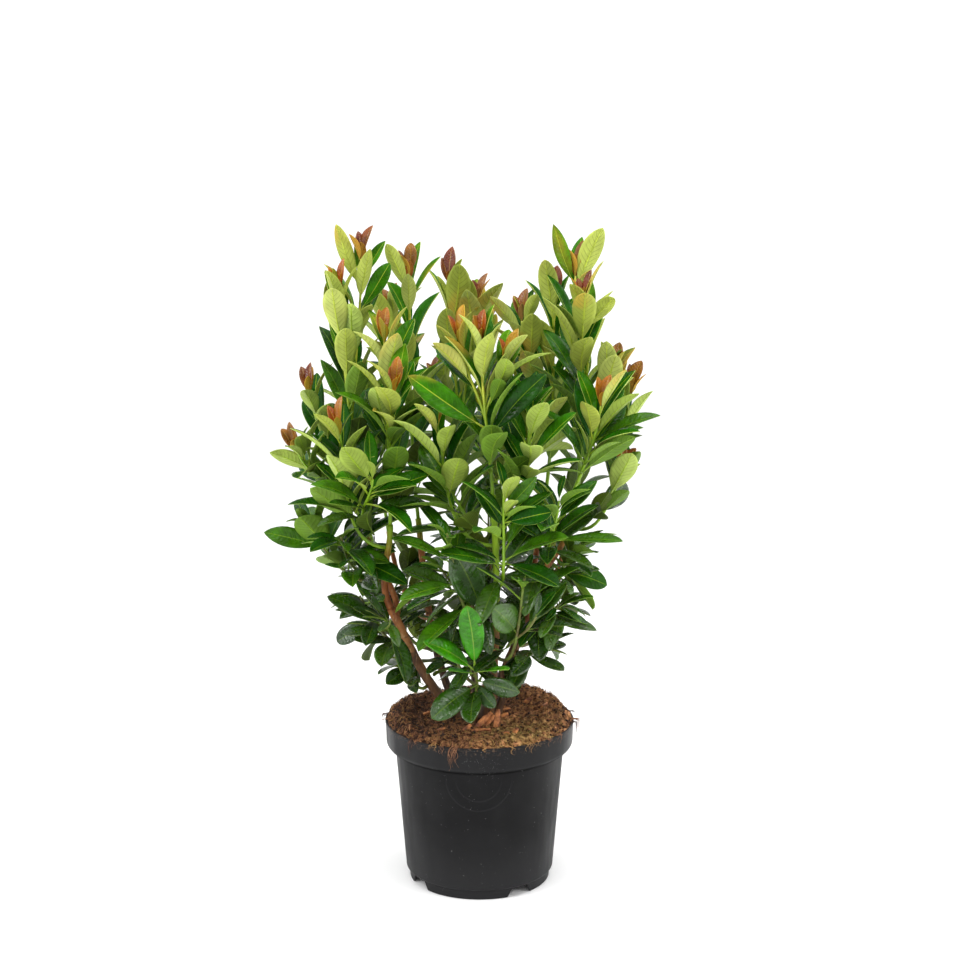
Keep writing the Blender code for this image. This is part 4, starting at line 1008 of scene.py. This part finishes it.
def kind_of(mass, index, leaf, rng):
    """Which kind a leaf is, by its spray, its height and how young it is."""
    if mass == "foliage_front_sprout":
        return "sprout" if leaf.root.z > 0.335 else "old"
    height = leaf.root.z + rng.uniform(-0.04, 0.04)
    young = 1.0 - leaf.age
    if height > 0.70 and leaf.length < GOLDEN_LENGTH * rng.uniform(0.8, 1.1):
        return "golden"
    if height > 0.70 and young > 0.42 or height > 0.80:
        return "young" if young + rng.uniform(-0.2, 0.2) > 0.45 else "upper"
    if height > 0.60:
        return "upper" if young > 0.40 else "grown"
    if height > 0.46:
        return "grown" if young > 0.3 else "old"
    return "old"


def tip_leaves(axis, rng):
    """The little leaves that still wrap a shoot's tip."""
    leaves = []
    lean = axis.lean(1.0)
    for place, tip in enumerate(TIPS):
        out = square_to(lean, Vector((0.0, -1.0, 0.0)))
        out = Matrix.Rotation(math.radians(tip.turn + rng.uniform(-24.0, 24.0)), 3, lean) @ out
        spread = math.radians(tip.spread + rng.uniform(-4.0, 4.0))
        ahead = lean * math.cos(spread) + out * math.sin(spread)
        face = lean * math.sin(spread) - out * math.cos(spread)
        length = TIP_LEAF_LENGTH * tip.size * rng.uniform(0.85, 1.05)
        leaves.append(Leaf(axis.point(1.0 - 0.01 * place), ahead, face, length,
                           rng.uniform(0.38, 0.48), rng.uniform(-0.05, 0.04), rng.uniform(0.08, 0.28), 0.0))
    return leaves


def add_fine_growth(plant):
    """Smaller leaves on the same shoots, wherever room is left between the others."""
    for number, mass in enumerate(MASSES):
        axes, leaves = plant.grown[mass.name]
        for index, (shoot, axis) in enumerate(zip(mass.shoots, axes)):
            rng = random.Random(9000 + 10 * number + index)
            small = shoot._replace(size=shoot.size * FINE_SIZE)
            for _ in range(round(mix(1.0, FINE_LEAVES, shoot.lay)) if shoot.leaves else 0):
                share = rng.uniform(0.08, 0.94)
                leaf = find_room(plant.crowd, plant.spaces, number, (mass.name, index), axis, small,
                                 share, rng.uniform(0.0, 360.0), rng)
                if leaf:
                    leaves.append(leaf)


def dress_leaves(grown):
    """All blades by kind, and the stalks and ribs in one piece of their own."""
    shapes = {kind.name: bmesh.new() for kind in KINDS}
    layers = {name: shape.loops.layers.uv.new("blade") for name, shape in shapes.items()}
    ribs = bmesh.new()
    tones = [kind.name for kind in KINDS]
    for number, mass in enumerate(MASSES):
        axes, leaves = grown[mass.name]
        rng = random.Random(7000 + number)
        dealt = [(kind_of(mass.name, 0, leaf, rng), leaf) for leaf in leaves]
        for index, axis in enumerate(axes):
            kind = TIP_KINDS.get((mass.name, index))
            if kind:
                dealt += [(kind, leaf) for leaf in tip_leaves(axis, rng)]
        for kind, leaf in dealt:
            blade = Blade(leaf, rng)
            add_blade(shapes[kind], layers[kind], blade, rng.randrange(3))
            add_rib(ribs, blade, tones.index(kind))
    for kind in KINDS:
        materials = []
        for shade, (upper, under) in enumerate(zip(kind.uppers, kind.unders)):
            label = kind.name + " leaf " + "abc"[shade]
            materials.append(leaf_finish(label + " upper", upper, shifted(kind.vein, 0.9), kind.dull,
                                         kind.shine, True, kind.blush))
            materials.append(leaf_finish(label + " under", under, kind.vein, 0.55, 0.16, False, kind.blush))
        piece = piece_of("leaves_" + kind.name, shapes[kind.name], materials,
                         [mass.name for mass in MASSES])
        wall = piece.modifiers.new("Blade thickness", "SOLIDIFY")
        wall.thickness = BLADE_THICKNESS
        wall.offset = -1.0
        wall.material_offset = 1
        wall.material_offset_rim = 1
    closed(ribs)
    materials = [plain_finish(kind.name + " stalk", kind.vein, shifted(kind.vein, 0.8), 0.45, 60.0, 0.0001)
                 for kind in KINDS]
    piece_of("leaf_stalks", ribs, materials)


def dress_shoots(grown):
    """The green shoots of every mass, swollen a little in rings at even steps along them."""
    shape = bmesh.new()
    for mass in MASSES:
        axes, leaves = grown[mass.name]
        for axis in axes:
            green = 0 if axis.end.z > 0.60 else 1

            def radius(share, turn, axis=axis):
                taper = mix(0.95, 0.80, share)
                ring = 1.0 + 0.10 * max(0.0, math.sin(share * axis.length / 0.016 * 6.28)) ** 4
                return axis.radius(share) * taper * ring

            rolled_tube(shape, axis.point, radius, axis.lean,
                        max(8, int(axis.length / SHOOT_RING_STEP)), SHOOT_SIDES, green)
    closed(shape)
    materials = [shoot_finish(), plain_finish("older shoot", (106, 126, 44), (92, 84, 42), 0.55, 60.0, 0.0003)]
    piece_of("shoots", shape, materials)


def shoot_finish():
    """Fresh green twigs that turn yellow toward the top of the crown."""
    finish = Finish("green shoot", (126, 170, 26), 0.40)
    mottling = finish.band(finish.grain(40.0), 0.35, 0.65)
    green = finish.blend(mottling, (112, 152, 20), (138, 178, 32))
    yellow = finish.blend(mottling, (176, 184, 52), (204, 200, 66))
    finish.colour(finish.blend(finish.band(finish.height(), 0.68, 0.82), green, yellow))
    finish.relief(finish.grain(240.0), 0.0002)
    return finish.material


def bark_finish(name, green_from):
    """Thin bark: brown bands with pale specks low down, green above the given height."""
    finish = Finish(name, (110, 66, 42), 0.55, 0.3)
    bands = finish.band(finish.grain(70.0, 4.0, (1.0, 1.0, 0.3)), 0.35, 0.65)
    brown = finish.blend(bands, (76, 48, 28), (158, 108, 62))
    rusty = finish.band(finish.height(), 0.36, 0.48, 0.0, 0.5)
    brown = finish.blend(rusty, brown, (172, 88, 36))
    flecks = finish.band(finish.grain(190.0, 3.0, (1.0, 1.0, 0.35)), 0.56, 0.70)
    brown = finish.blend(flecks, brown, (188, 146, 100))
    scars = finish.band(finish.grain(80.0, 3.0, (1.0, 1.0, 1.6)), 0.60, 0.70)
    brown = finish.blend(finish.sum("MULTIPLY", scars, 0.55), brown, (50, 32, 21))
    green = finish.blend(bands, (116, 152, 20), (142, 178, 34))
    height = finish.sum("MULTIPLY_ADD", finish.grain(24.0), 0.08, finish.height())
    foot = finish.band(finish.height(), SOIL_LEVEL + 0.040, SOIL_LEVEL + 0.140, 0.78, 0.0)
    brown = finish.blend(foot, brown, (52, 35, 25))
    finish.colour(finish.blend(finish.band(height, green_from + 0.01, green_from + 0.09), brown, green))
    finish.relief(finish.grain(240.0, 5.0, (1.0, 1.0, 0.4)), 0.0014)
    return finish.material


def dress_limbs(limbs):
    """Stems and boughs, with the bark's ridges, leaf scars and flared feet."""
    for name, green_from, chosen in (
            ("bark", 0.52, [limb for limb in LIMBS if limb.name != GREEN_STEM]),
            ("green_stem", 0.42, [limb for limb in LIMBS if limb.name == GREEN_STEM])):
        shape = bmesh.new()
        for number, limb in enumerate(chosen):
            add_limb(shape, limbs[limb.name], limb, number)
        closed(shape)
        finish = bark_finish(name.replace("_", " "), green_from)
        piece_of(name, shape, [finish], [limb.name for limb in chosen])


def add_limb(shape, axis, limb, number):
    def radius(share, turn):
        flare = 1.0
        if limb.parent is None:
            climb = axis.point(share).z - axis.start.z
            flare += (FLARE_GAIN - 1.0) * max(0.0, 1.0 - climb / FLARE_LENGTH) ** 2
        place = axis.point(share) * 90.0 + Vector((math.cos(turn), math.sin(turn), number)) * 1.3
        ridge = 0.08 * noise.noise(place) + 0.035 * noise.noise(place * 4.0)
        scar = 0.05 * max(0.0, math.sin(share * axis.length / 0.043 * 6.28 + number + 1.5 * ridge)) ** 10
        return axis.radius(share) * flare * (1.0 + ridge + scar)

    rolled_tube(shape, axis.point, radius, axis.lean, max(8, int(axis.length / BARK_RING_STEP)), BARK_SIDES)


def pot_finish():
    """Matte charcoal plastic: rubbed patches, dust under the lip, specks, two faint moulded rings, painted light on
    the lower body and a painted shadow under the rim band.
    """
    finish = Finish("pot plastic", (16, 16, 17), 0.5, 0.10)
    grey = finish.blend(finish.band(finish.grain(16.0, 5.0), 0.35, 0.70), (16, 16, 17), (22, 22, 23))
    height = finish.height()
    # Painted light: the body is painted lighter towards its foot, where it would otherwise render darker
    grey = finish.blend(finish.band(height, 0.0, 0.12, 1.0, 0.0), grey, (37, 37, 38))
    grey = finish.blend(finish.band(height, RIM_FOOT_Z, RIM_FOOT_Z + 0.004, 0.0, 0.6), grey, (34, 34, 35))
    rings = 0.0
    gap = finish.gap_to(RING_MIDDLE)
    for radius in RING_RADII:
        rings = finish.sum("ADD", finish.line(gap, radius, 0.0003, 0.0020), rings)
    rings = finish.sum("MULTIPLY", rings, finish.band(height, 0.165, 0.205, 1.0, 0.0))
    grey = finish.blend(finish.sum("MULTIPLY", rings, 0.25), grey, (44, 44, 45))
    dusty = finish.sum("MULTIPLY", finish.band(finish.grain(260.0, 4.0), 0.54, 0.66),
                       finish.band(height, POT_HEIGHT - 0.016, POT_HEIGHT))
    grey = finish.blend(finish.sum("MULTIPLY", dusty, 0.6), grey, (104, 82, 64))
    # Painted shadow: a near-black line just under the rim band, where the band's overhang shades the body; it is
    # rougher there too
    under = finish.line(height, RIM_FOOT_Z, 0.0020, 0.0060)
    grey = finish.blend(finish.sum("MULTIPLY", under, 0.7), grey, (5, 5, 5))
    few = finish.band(finish.grain(620.0, 1.0), 0.79, 0.82)
    many = finish.sum("MULTIPLY", finish.band(finish.grain(900.0, 1.0), 0.73, 0.77),
                      finish.near(SPECK_PLACE, 0.015, 0.052))
    finish.colour(finish.blend(finish.sum("MAXIMUM", few, many), grey, (160, 160, 158)))
    rubbed = finish.band(finish.grain(40.0, 4.0, (1.0, 1.0, 0.2)), 0.3, 0.7, 0.36, 0.56)
    finish.roughness(finish.sum("MULTIPLY_ADD", under, 0.4, rubbed))
    finish.relief(finish.sum("MULTIPLY_ADD", finish.grain(700.0, 3.0), 0.25, rings), 0.0003)
    return finish.material


POT_ROUND = 144
RING_MIDDLE = (-0.001, -0.1195, 0.193)
RING_RADII = (0.033, 0.048)
SPECK_PLACE = (0.006, -0.138, 0.228)


def spun(profile, steps):
    """A closed solid turned about Z from a profile that starts and ends on the axis."""
    shape = bmesh.new()
    corners = [shape.verts.new((radius, 0.0, height)) for radius, height in profile]
    edges = [shape.edges.new(pair) for pair in zip(corners, corners[1:])]
    bmesh.ops.spin(shape, geom=corners + edges, axis=UP, cent=(0.0, 0.0, 0.0),
                   angle=2.0 * math.pi, steps=steps, use_merge=True)
    bmesh.ops.remove_doubles(shape, verts=shape.verts[:], dist=1e-6)
    bmesh.ops.recalc_face_normals(shape, faces=shape.faces[:])
    return shape


def arc(middle, size, first, last, steps):
    """Points of an arc in the profile's plane, from one heading to another in degrees."""
    turns = [math.radians(mix(first, last, step / steps)) for step in range(steps + 1)]
    return [(middle[0] + size * math.cos(turn), middle[1] + size * math.sin(turn)) for turn in turns]


def dress_pot():
    """The pot again with round turns: foot ring, drain notches, tapering body, band and lip."""
    underside = FOOT_HEIGHT - FLOOR_THICKNESS * 0.2
    outer = [(0.0, 0.0002), (PAD_RADIUS - 0.001, 0.0002), (PAD_RADIUS, underside),
             (FOOT_RADIUS - POT_WALL, underside), (FOOT_RADIUS - POT_WALL, 0.0005),
             (FOOT_RADIUS - POT_WALL + 0.0006, 0.0), (FOOT_RADIUS - 0.0006, 0.0),
             (FOOT_RADIUS, 0.0006), (FOOT_RADIUS + 0.0006, FOOT_HEIGHT - 0.0008)]
    outer += arc((BODY_FOOT_RADIUS - 0.0035, FOOT_HEIGHT + 0.0040), 0.0036, -80.0, 0.0, 6)
    outer += [(BODY_TOP_RADIUS, RIM_FOOT_Z - 0.0008), (BODY_TOP_RADIUS + 0.0008, RIM_FOOT_Z)]
    outer += arc((RIM_RADIUS - 0.0118, RIM_FOOT_Z + 0.0104), 0.0104, -82.0, -4.0, 10)
    outer += [(RIM_RADIUS - 0.0007, POT_HEIGHT - 0.0040), (RIM_RADIUS, POT_HEIGHT - 0.0034)]
    outer += arc((RIM_RADIUS - 0.0009, POT_HEIGHT - 0.0009), 0.0009, 0.0, 90.0, 4)
    inner = [(RIM_RADIUS - POT_WALL, POT_HEIGHT), (RIM_RADIUS - POT_WALL - 0.0002, POT_HEIGHT - 0.0004),
             (RIM_RADIUS - POT_WALL - 0.0014, RIM_FOOT_Z + RIM_ROUND + 0.001),
             (BODY_TOP_RADIUS - POT_WALL, RIM_FOOT_Z + POT_WALL),
             (BODY_FOOT_RADIUS - POT_WALL, FOOT_HEIGHT + POT_WALL), (0.0, FOOT_HEIGHT + POT_WALL)]
    shape = spun(outer + inner, POT_ROUND)
    for face in shape.faces:
        face.smooth = True
    pot = piece_of("nursery_pot", shape, [pot_finish()], ["pot"])
    cutters = []
    for azimuth in NOTCH_AZIMUTHS:
        wedge = notch_shape(azimuth)
        mesh = bpy.data.meshes.new("notch")
        wedge.to_mesh(mesh)
        wedge.free()
        cutter = bpy.data.objects.new("notch", mesh)
        bpy.context.scene.collection.objects.link(cutter)
        cut = pot.modifiers.new("Drain notch", "BOOLEAN")
        cut.operation = "DIFFERENCE"
        cut.object = cutter
        cutters.append(cutter)
    graph = bpy.context.evaluated_depsgraph_get()
    pot.data = bpy.data.meshes.new_from_object(pot.evaluated_get(graph))
    pot.modifiers.clear()
    for cutter in cutters:
        bpy.data.objects.remove(cutter)
    pot.data.set_sharp_from_angle(angle=math.radians(38.0))


def notch_shape(azimuth):
    """A wedge through the foot ring, wider at the ground than at its top."""
    wedge = bmesh.new()
    bmesh.ops.create_cube(wedge, size=2.0)
    heading = math.radians(azimuth - 90.0)
    for vertex in wedge.verts:
        outside = vertex.co.x > 0.0
        above = vertex.co.z > 0.0
        half = NOTCH_HALF_ANGLE + (-2.4 if above else 2.4)
        turn = heading + math.radians(half) * vertex.co.y
        radius = 0.112 if outside else 0.090
        vertex.co = (radius * math.cos(turn), radius * math.sin(turn), NOTCH_HEIGHT if above else -0.004)
    return wedge


SOIL_RINGS = 64
SOIL_ROUND = 260
LUMPS = ((0.0160, 0.0075), (0.0062, 0.0046), (0.0026, 0.0022))   # size and height of the soil's lumps


def soil_spot(radius, turn):
    """A place on the soil's lumpy top, which is nowhere lower than the soil's own height."""
    across = radius * math.cos(turn)
    along = radius * math.sin(turn)
    place = Vector((across, along, 0.0))
    lumps = 0.0
    for size, height in LUMPS:
        lumps += height * abs(noise.noise(place / size + Vector((5.0, 1.0, 0.0))))
    keep = 1.0 - smooth_step(radius, RIM_RADIUS - 0.006, RIM_RADIUS - POT_WALL)
    return Vector((across, along, soil_height(across, along) + lumps * mix(0.5, 1.0, keep)))


def soil_finish():
    """Moist peat: dark and rusty crumbs, with a golden mossy patch at the front right."""
    finish = Finish("soil", (84, 56, 36), 0.92, 0.2)
    crumbs = finish.band(finish.grain(130.0, 6.0), 0.42, 0.64)
    dark = finish.blend(crumbs, (30, 18, 12), (136, 90, 62))
    pale = finish.blend(crumbs, (80, 48, 27), (232, 164, 112))
    # Paler towards the front right and darker towards the back left
    side = finish.sum("MULTIPLY_ADD", finish.height("Y"), -0.5, finish.height("X"))
    toward_front_right = finish.band(side, -0.06, 0.08)
    brown = finish.blend(toward_front_right, dark, pale)
    specks = finish.band(finish.grain(480.0, 3.0), 0.56, 0.68)
    brown = finish.blend(finish.sum("MULTIPLY", specks, crumbs), brown, (222, 168, 116))
    patches = finish.band(finish.grain(26.0, 3.0), 0.42, 0.62, 0.0, 0.35)
    brown = finish.blend(patches, brown, (50, 30, 18))
    moss = finish.blend(crumbs, (86, 62, 34), (214, 176, 112))
    share = finish.sum("MULTIPLY", finish.near(MOSS_PLACE, 0.030, 0.090),
                       finish.band(finish.grain(60.0, 4.0), 0.38, 0.62))
    finish.colour(finish.blend(share, brown, moss))
    finish.relief(finish.grain(420.0, 6.0), 0.003)
    return finish.material


def dress_soil():
    """The soil's rough top on a plain body inside the pot."""
    rim = RIM_RADIUS - POT_WALL - CLEAR * 4
    rings = [(rim * (1.0 - (step / SOIL_RINGS) ** 1.1), SOIL_LEVEL) for step in range(SOIL_RINGS)]
    profile = [(0.0, 0.020), (0.100, 0.020), (BODY_TOP_RADIUS - POT_WALL - 0.0012, RIM_FOOT_Z),
               (rim, 0.236)] + rings + [(0.0, SOIL_LEVEL)]
    shape = spun(profile, SOIL_ROUND)
    for vertex in shape.verts:
        if vertex.co.z >= SOIL_LEVEL - 1e-5:
            vertex.co = soil_spot(math.hypot(vertex.co.x, vertex.co.y), math.atan2(vertex.co.y, vertex.co.x))
    for face in shape.faces:
        face.smooth = True
    piece_of("soil_top", shape, [soil_finish()], ["soil"])


FIBRES = 3000
CRUMBS = 800
MOSS_PLACE = (0.062, -0.092, 0.250)
# Chips of bark: where the lower end lies, heading and rise in degrees, how far the broad side turns
# from the front to the top, length and width
Chip = namedtuple("Chip", "across along heading rise facing length width")
CHIPS = (Chip(-0.004, -0.064, 21.0, 42.0, 15.0, 0.032, 0.013), Chip(0.024, -0.070, 72.0, 62.0, 5.0, 0.027, 0.015),
         Chip(-0.024, -0.080, 12.0, 34.0, 35.0, 0.015, 0.010), Chip(-0.012, -0.078, 4.0, 3.0, 65.0, 0.028, 0.010),
         Chip(0.006, -0.060, 40.0, 30.0, 30.0, 0.024, 0.012), Chip(0.020, 0.014, 9.0, 6.0, 60.0, 0.027, 0.007),
         Chip(0.032, -0.016, 16.0, 20.0, 40.0, 0.012, 0.009), Chip(0.070, 0.044, 20.0, 36.0, 20.0, 0.012, 0.010),
         Chip(0.050, -0.101, 14.0, 44.0, 30.0, 0.009, 0.008), Chip(0.034, -0.088, -20.0, 8.0, 70.0, 0.012, 0.008),
         Chip(-0.062, -0.084, 10.0, 12.0, 70.0, 0.012, 0.007), Chip(0.094, 0.010, 55.0, 10.0, 80.0, 0.014, 0.007),
         Chip(-0.084, -0.020, 25.0, 8.0, 80.0, 0.015, 0.008), Chip(-0.050, 0.076, 120.0, 14.0, 80.0, 0.018, 0.009),
         Chip(0.036, 0.090, -40.0, 10.0, 90.0, 0.022, 0.008), Chip(0.004, 0.104, 10.0, 8.0, 90.0, 0.012, 0.007))
CHIP_THICKNESS = 0.0028
# Roots over the lip: degrees from +X, drop, shade, how many strands and how far they stand off
Hanging = namedtuple("Hanging", "azimuth drop shade strands standoff")
HANGING = (Hanging(-135.6, 0.031, 2, 8, 0.0024), Hanging(-131.0, 0.012, 0, 4, 0.0020),
           Hanging(-118.0, 0.012, 1, 4, 0.0020), Hanging(-113.0, 0.017, 0, 5, 0.0024),
           Hanging(-105.5, 0.037, 0, 9, 0.0030), Hanging(-103.6, 0.024, 0, 7, 0.0036),
           Hanging(-88.0, 0.006, 1, 3, 0.0016), Hanging(-71.0, 0.015, 1, 3, 0.0024),
           Hanging(-60.0, 0.012, 1, 3, 0.0020), Hanging(-56.0, 0.016, 1, 4, 0.0024),
           Hanging(-44.0, 0.012, 0, 4, 0.0024), Hanging(-34.0, 0.014, 0, 4, 0.0024),
           Hanging(-8.0, 0.020, 2, 6, 0.0060), Hanging(-3.0, 0.028, 0, 9, 0.0084),
           Hanging(12.0, 0.006, 2, 6, 0.0060), Hanging(176.0, 0.007, 2, 7, 0.0070),
           Hanging(184.0, 0.010, 0, 4, 0.0050), Hanging(60.0, 0.016, 0, 5, 0.0030),
           Hanging(104.0, 0.024, 2, 5, 0.0030), Hanging(142.0, 0.012, 1, 4, 0.0024))


def ground(spot):
    return soil_spot(min(math.hypot(spot.x, spot.y), RIM_RADIUS - 0.004), math.atan2(spot.y, spot.x))


def scatter_fibres():
    """Root fibres, straws and moss strands that lie on the soil, and roots that hang over the rim."""
    shape = bmesh.new()
    rng = random.Random(41)
    for number in range(FIBRES):
        radius = (RIM_RADIUS - 0.005) * rng.random() ** 0.4
        turn = rng.uniform(0.0, 2.0 * math.pi)
        start = soil_spot(radius, turn)
        heading = rng.uniform(0.0, 2.0 * math.pi)
        mossy = (start - Vector(MOSS_PLACE)).length < rng.uniform(0.03, 0.09)
        # Fibres towards the front right take the paler shades
        toward_front_right = start.x - start.y * 0.5 > rng.uniform(-0.04, 0.06)
        length = rng.uniform(0.004, 0.012) if mossy else rng.uniform(0.005, 0.019)
        bend = rng.uniform(-1.4, 1.4)
        thick = rng.uniform(0.00016, 0.00040)
        rise = rng.uniform(0.0, 0.0045)

        def middle(share, start=start, heading=heading, length=length, bend=bend, rise=rise):
            turned = heading + bend * share
            spot = start + Vector((math.cos(turned), math.sin(turned), 0.0)) * length * (share - 0.5)
            return ground(spot) + UP * (0.0006 + rise * math.sin(math.pi * share))

        rolled_tube(shape, middle, lambda share, turn, thick=thick: thick, lambda share, heading=heading:
                    Vector((math.cos(heading), math.sin(heading), 0.0)), 5, 3,
                    rng.choice((3, 3, 3, 1, 4) if mossy else (0, 1, 1, 0, 2) if toward_front_right else (0, 1, 2, 2, 2)))
    for hanging in HANGING:
        for strand in range(hanging.strands):
            add_hanging_root(shape, hanging, rng)
    closed(shape)
    materials = [plain_finish("root fibre", (164, 112, 74), (112, 74, 50), 0.8, 200.0, 0.0002),
                 plain_finish("straw", (196, 150, 92), (156, 110, 60), 0.8, 200.0, 0.0002),
                 plain_finish("dark fibre", (92, 56, 36), (54, 32, 22), 0.8, 200.0, 0.0002),
                 plain_finish("golden moss", (192, 156, 92), (144, 110, 60), 0.8, 200.0, 0.0002),
                 plain_finish("green moss", (136, 122, 46), (96, 86, 34), 0.8, 200.0, 0.0002)]
    piece_of("soil_fibres", shape, materials)


def add_hanging_root(shape, hanging, rng):
    """One thin root from the soil over the lip and down the outside of the band."""
    heading = math.radians(hanging.azimuth + rng.uniform(-1.5, 1.5))
    drop = hanging.drop * rng.uniform(0.4, 1.0)
    wander = rng.uniform(-0.05, 0.05)
    thick = rng.uniform(0.00028, 0.00062)
    inside = RIM_RADIUS - 0.014
    outside = RIM_RADIUS + hanging.standoff * rng.uniform(0.5, 1.1)

    def middle(share):
        over = smooth_step(share, 0.0, 0.40)
        fall = smooth_step(share, 0.30, 1.0)
        turned = heading + wander * share + 0.014 * math.sin(share * 11.0 + wander * 90.0)
        spot = Vector((math.cos(turned), math.sin(turned), 0.0)) * mix(inside, outside, over)
        start = max(ground(spot).z, POT_HEIGHT) + 0.0008
        spot.z = mix(start, POT_HEIGHT + 0.0012, over) - drop * fall
        return spot

    rolled_tube(shape, middle, lambda share, turn: thick * (1.15 - share), lambda share:
                Vector((math.cos(heading), math.sin(heading), -2.0 * share)).normalized(), 12, 4,
                hanging.shade)


def scatter_crumbs():
    """Loose crumbs of peat, and chips of bark, on the soil."""
    shape = bmesh.new()
    rng = random.Random(57)
    for number in range(CRUMBS):
        radius = (RIM_RADIUS - 0.005) * rng.random() ** 0.4
        spot = soil_spot(radius, rng.uniform(0.0, 2.0 * math.pi))
        size = rng.uniform(0.0007, 0.0024)
        lump = bmesh.ops.create_icosphere(shape, subdivisions=1, radius=size)
        for vertex in lump["verts"]:
            vertex.co *= 1.0 + rng.uniform(-0.3, 0.3)
            vertex.co += spot + UP * size * 0.3
        add_shade(lump["verts"], rng.choice((0, 0, 1)))
    for chip in CHIPS:
        add_chip(shape, chip)
    closed(shape)
    materials = [plain_finish("dark crumb", (62, 40, 26), (34, 22, 15), 0.9, 300.0, 0.0004),
                 plain_finish("rusty crumb", (140, 94, 60), (98, 62, 40), 0.9, 300.0, 0.0004),
                 plain_finish("bark chip", (212, 136, 80), (112, 62, 36), 0.70, 90.0, 0.0008)]
    piece_of("soil_crumbs", shape, materials)


def add_chip(shape, chip):
    """A flat sliver of bark with ragged edges."""
    heading = math.radians(chip.heading)
    rise = math.radians(chip.rise)
    lean = Vector((math.cos(heading) * math.cos(rise), math.sin(heading) * math.cos(rise), math.sin(rise)))
    foot = ground(Vector((chip.across, chip.along, 0.0))) + UP * CHIP_THICKNESS * 0.5

    def middle(share):
        return foot + lean * chip.length * share

    def radius(share, turn):
        turn += math.radians(chip.facing)
        taper = 1.0 - 0.55 * share ** 2 - 0.3 * (1.0 - share) ** 4
        ragged = 1.0 + 0.25 * noise.noise(middle(share) * 500.0 + Vector((math.cos(turn), math.sin(turn), 0.0)))
        return 0.5 * ragged / math.hypot(math.cos(turn) / CHIP_THICKNESS, math.sin(turn) / (chip.width * taper))

    rolled_tube(shape, middle, radius, lambda share: lean, 7, 10, 2)


def add_shade(corners, shade):
    for corner in corners:
        for face in corner.link_faces:
            face.material_index = shade


def place_camera():
    data = bpy.data.cameras.new("camera")
    data.lens = LENS
    data.sensor_width = SENSOR
    camera = bpy.data.objects.new("camera", data)
    camera.location = CAMERA_PLACE
    camera.rotation_euler = (math.radians(90.0 - CAMERA_DROP), 0.0, 0.0)
    bpy.context.scene.collection.objects.link(camera)
    bpy.context.scene.camera = camera


def soft_light(name, place, target, width, power):
    data = bpy.data.lights.new(name, "AREA")
    data.shape = "RECTANGLE"
    data.size = width[0]
    data.size_y = width[1]
    data.energy = power
    light = bpy.data.objects.new(name, data)
    light.location = place
    light.rotation_euler = (Vector(target) - Vector(place)).to_track_quat("-Z", "Y").to_euler()
    bpy.context.scene.collection.objects.link(light)


def light_studio():
    world = bpy.data.worlds.new("studio")
    world.use_nodes = True
    nodes = world.node_tree.nodes
    links = world.node_tree.links
    sky = nodes["Background"]
    sky.inputs["Strength"].default_value = SKY
    places = nodes.new("ShaderNodeTexCoord")
    heading = nodes.new("ShaderNodeSeparateXYZ")
    links.new(places.outputs["Generated"], heading.inputs["Vector"])
    dim = nodes.new("ShaderNodeMapRange")
    dim.interpolation_type = "SMOOTHSTEP"
    for name, number in (("From Min", -0.75), ("From Max", 0.05), ("To Min", SKY_FRONT), ("To Max", 1.0)):
        dim.inputs[name].default_value = number
    links.new(heading.outputs["Y"], dim.inputs["Value"])
    ray = nodes.new("ShaderNodeLightPath")
    shown = nodes.new("ShaderNodeMath")
    shown.operation = "MAXIMUM"
    links.new(ray.outputs["Is Camera Ray"], shown.inputs[0])
    links.new(dim.outputs["Result"], shown.inputs[1])
    links.new(shown.outputs["Value"], sky.inputs["Color"])
    bpy.context.scene.world = world
    bpy.context.scene.view_settings.view_transform = "Standard"
    soft_light("left softbox", (-2.2, -1.3, 1.5), (0.0, 0.0, 0.5), (0.9, 1.6), 30.0)
    soft_light("right softbox", (2.3, -1.1, 1.4), (0.0, 0.0, 0.5), (0.9, 1.6), 25.0)
    soft_light("top softbox", (0.0, -0.5, 2.6), (0.0, 0.0, 0.5), (1.4, 1.2), 32.0)
    soft_light("front fill", (0.0, -3.4, 1.7), (0.0, 0.0, 0.6), (2.6, 1.8), 18.0)
    soft_light("left edge light", (-1.9, 0.75, 0.9), (0.0, 0.0, 0.4), (0.4, 1.6), 8.0)
    soft_light("right edge light", (1.9, 0.75, 0.9), (0.0, 0.0, 0.4), (0.4, 1.6), 8.0)


def lay_floor():
    shape = bmesh.new()
    bmesh.ops.create_grid(shape, x_segments=1, y_segments=1, size=FLOOR_WIDTH * 0.5)
    mesh = bpy.data.meshes.new("floor")
    shape.to_mesh(mesh)
    shape.free()
    floor = bpy.data.objects.new("floor", mesh)
    bpy.context.scene.collection.objects.link(floor)
    mesh.materials.append(Finish("pale floor", (254, 254, 254), 0.9, 0.1).material)


def main():
    place_camera()
    light_studio()
    lay_floor()
    plant = grow()
    add_fine_growth(plant)
    dress_pot()
    dress_soil()
    scatter_fibres()
    scatter_crumbs()
    dress_limbs(plant.limbs)
    dress_shoots(plant.grown)
    dress_leaves(plant.grown)


main()
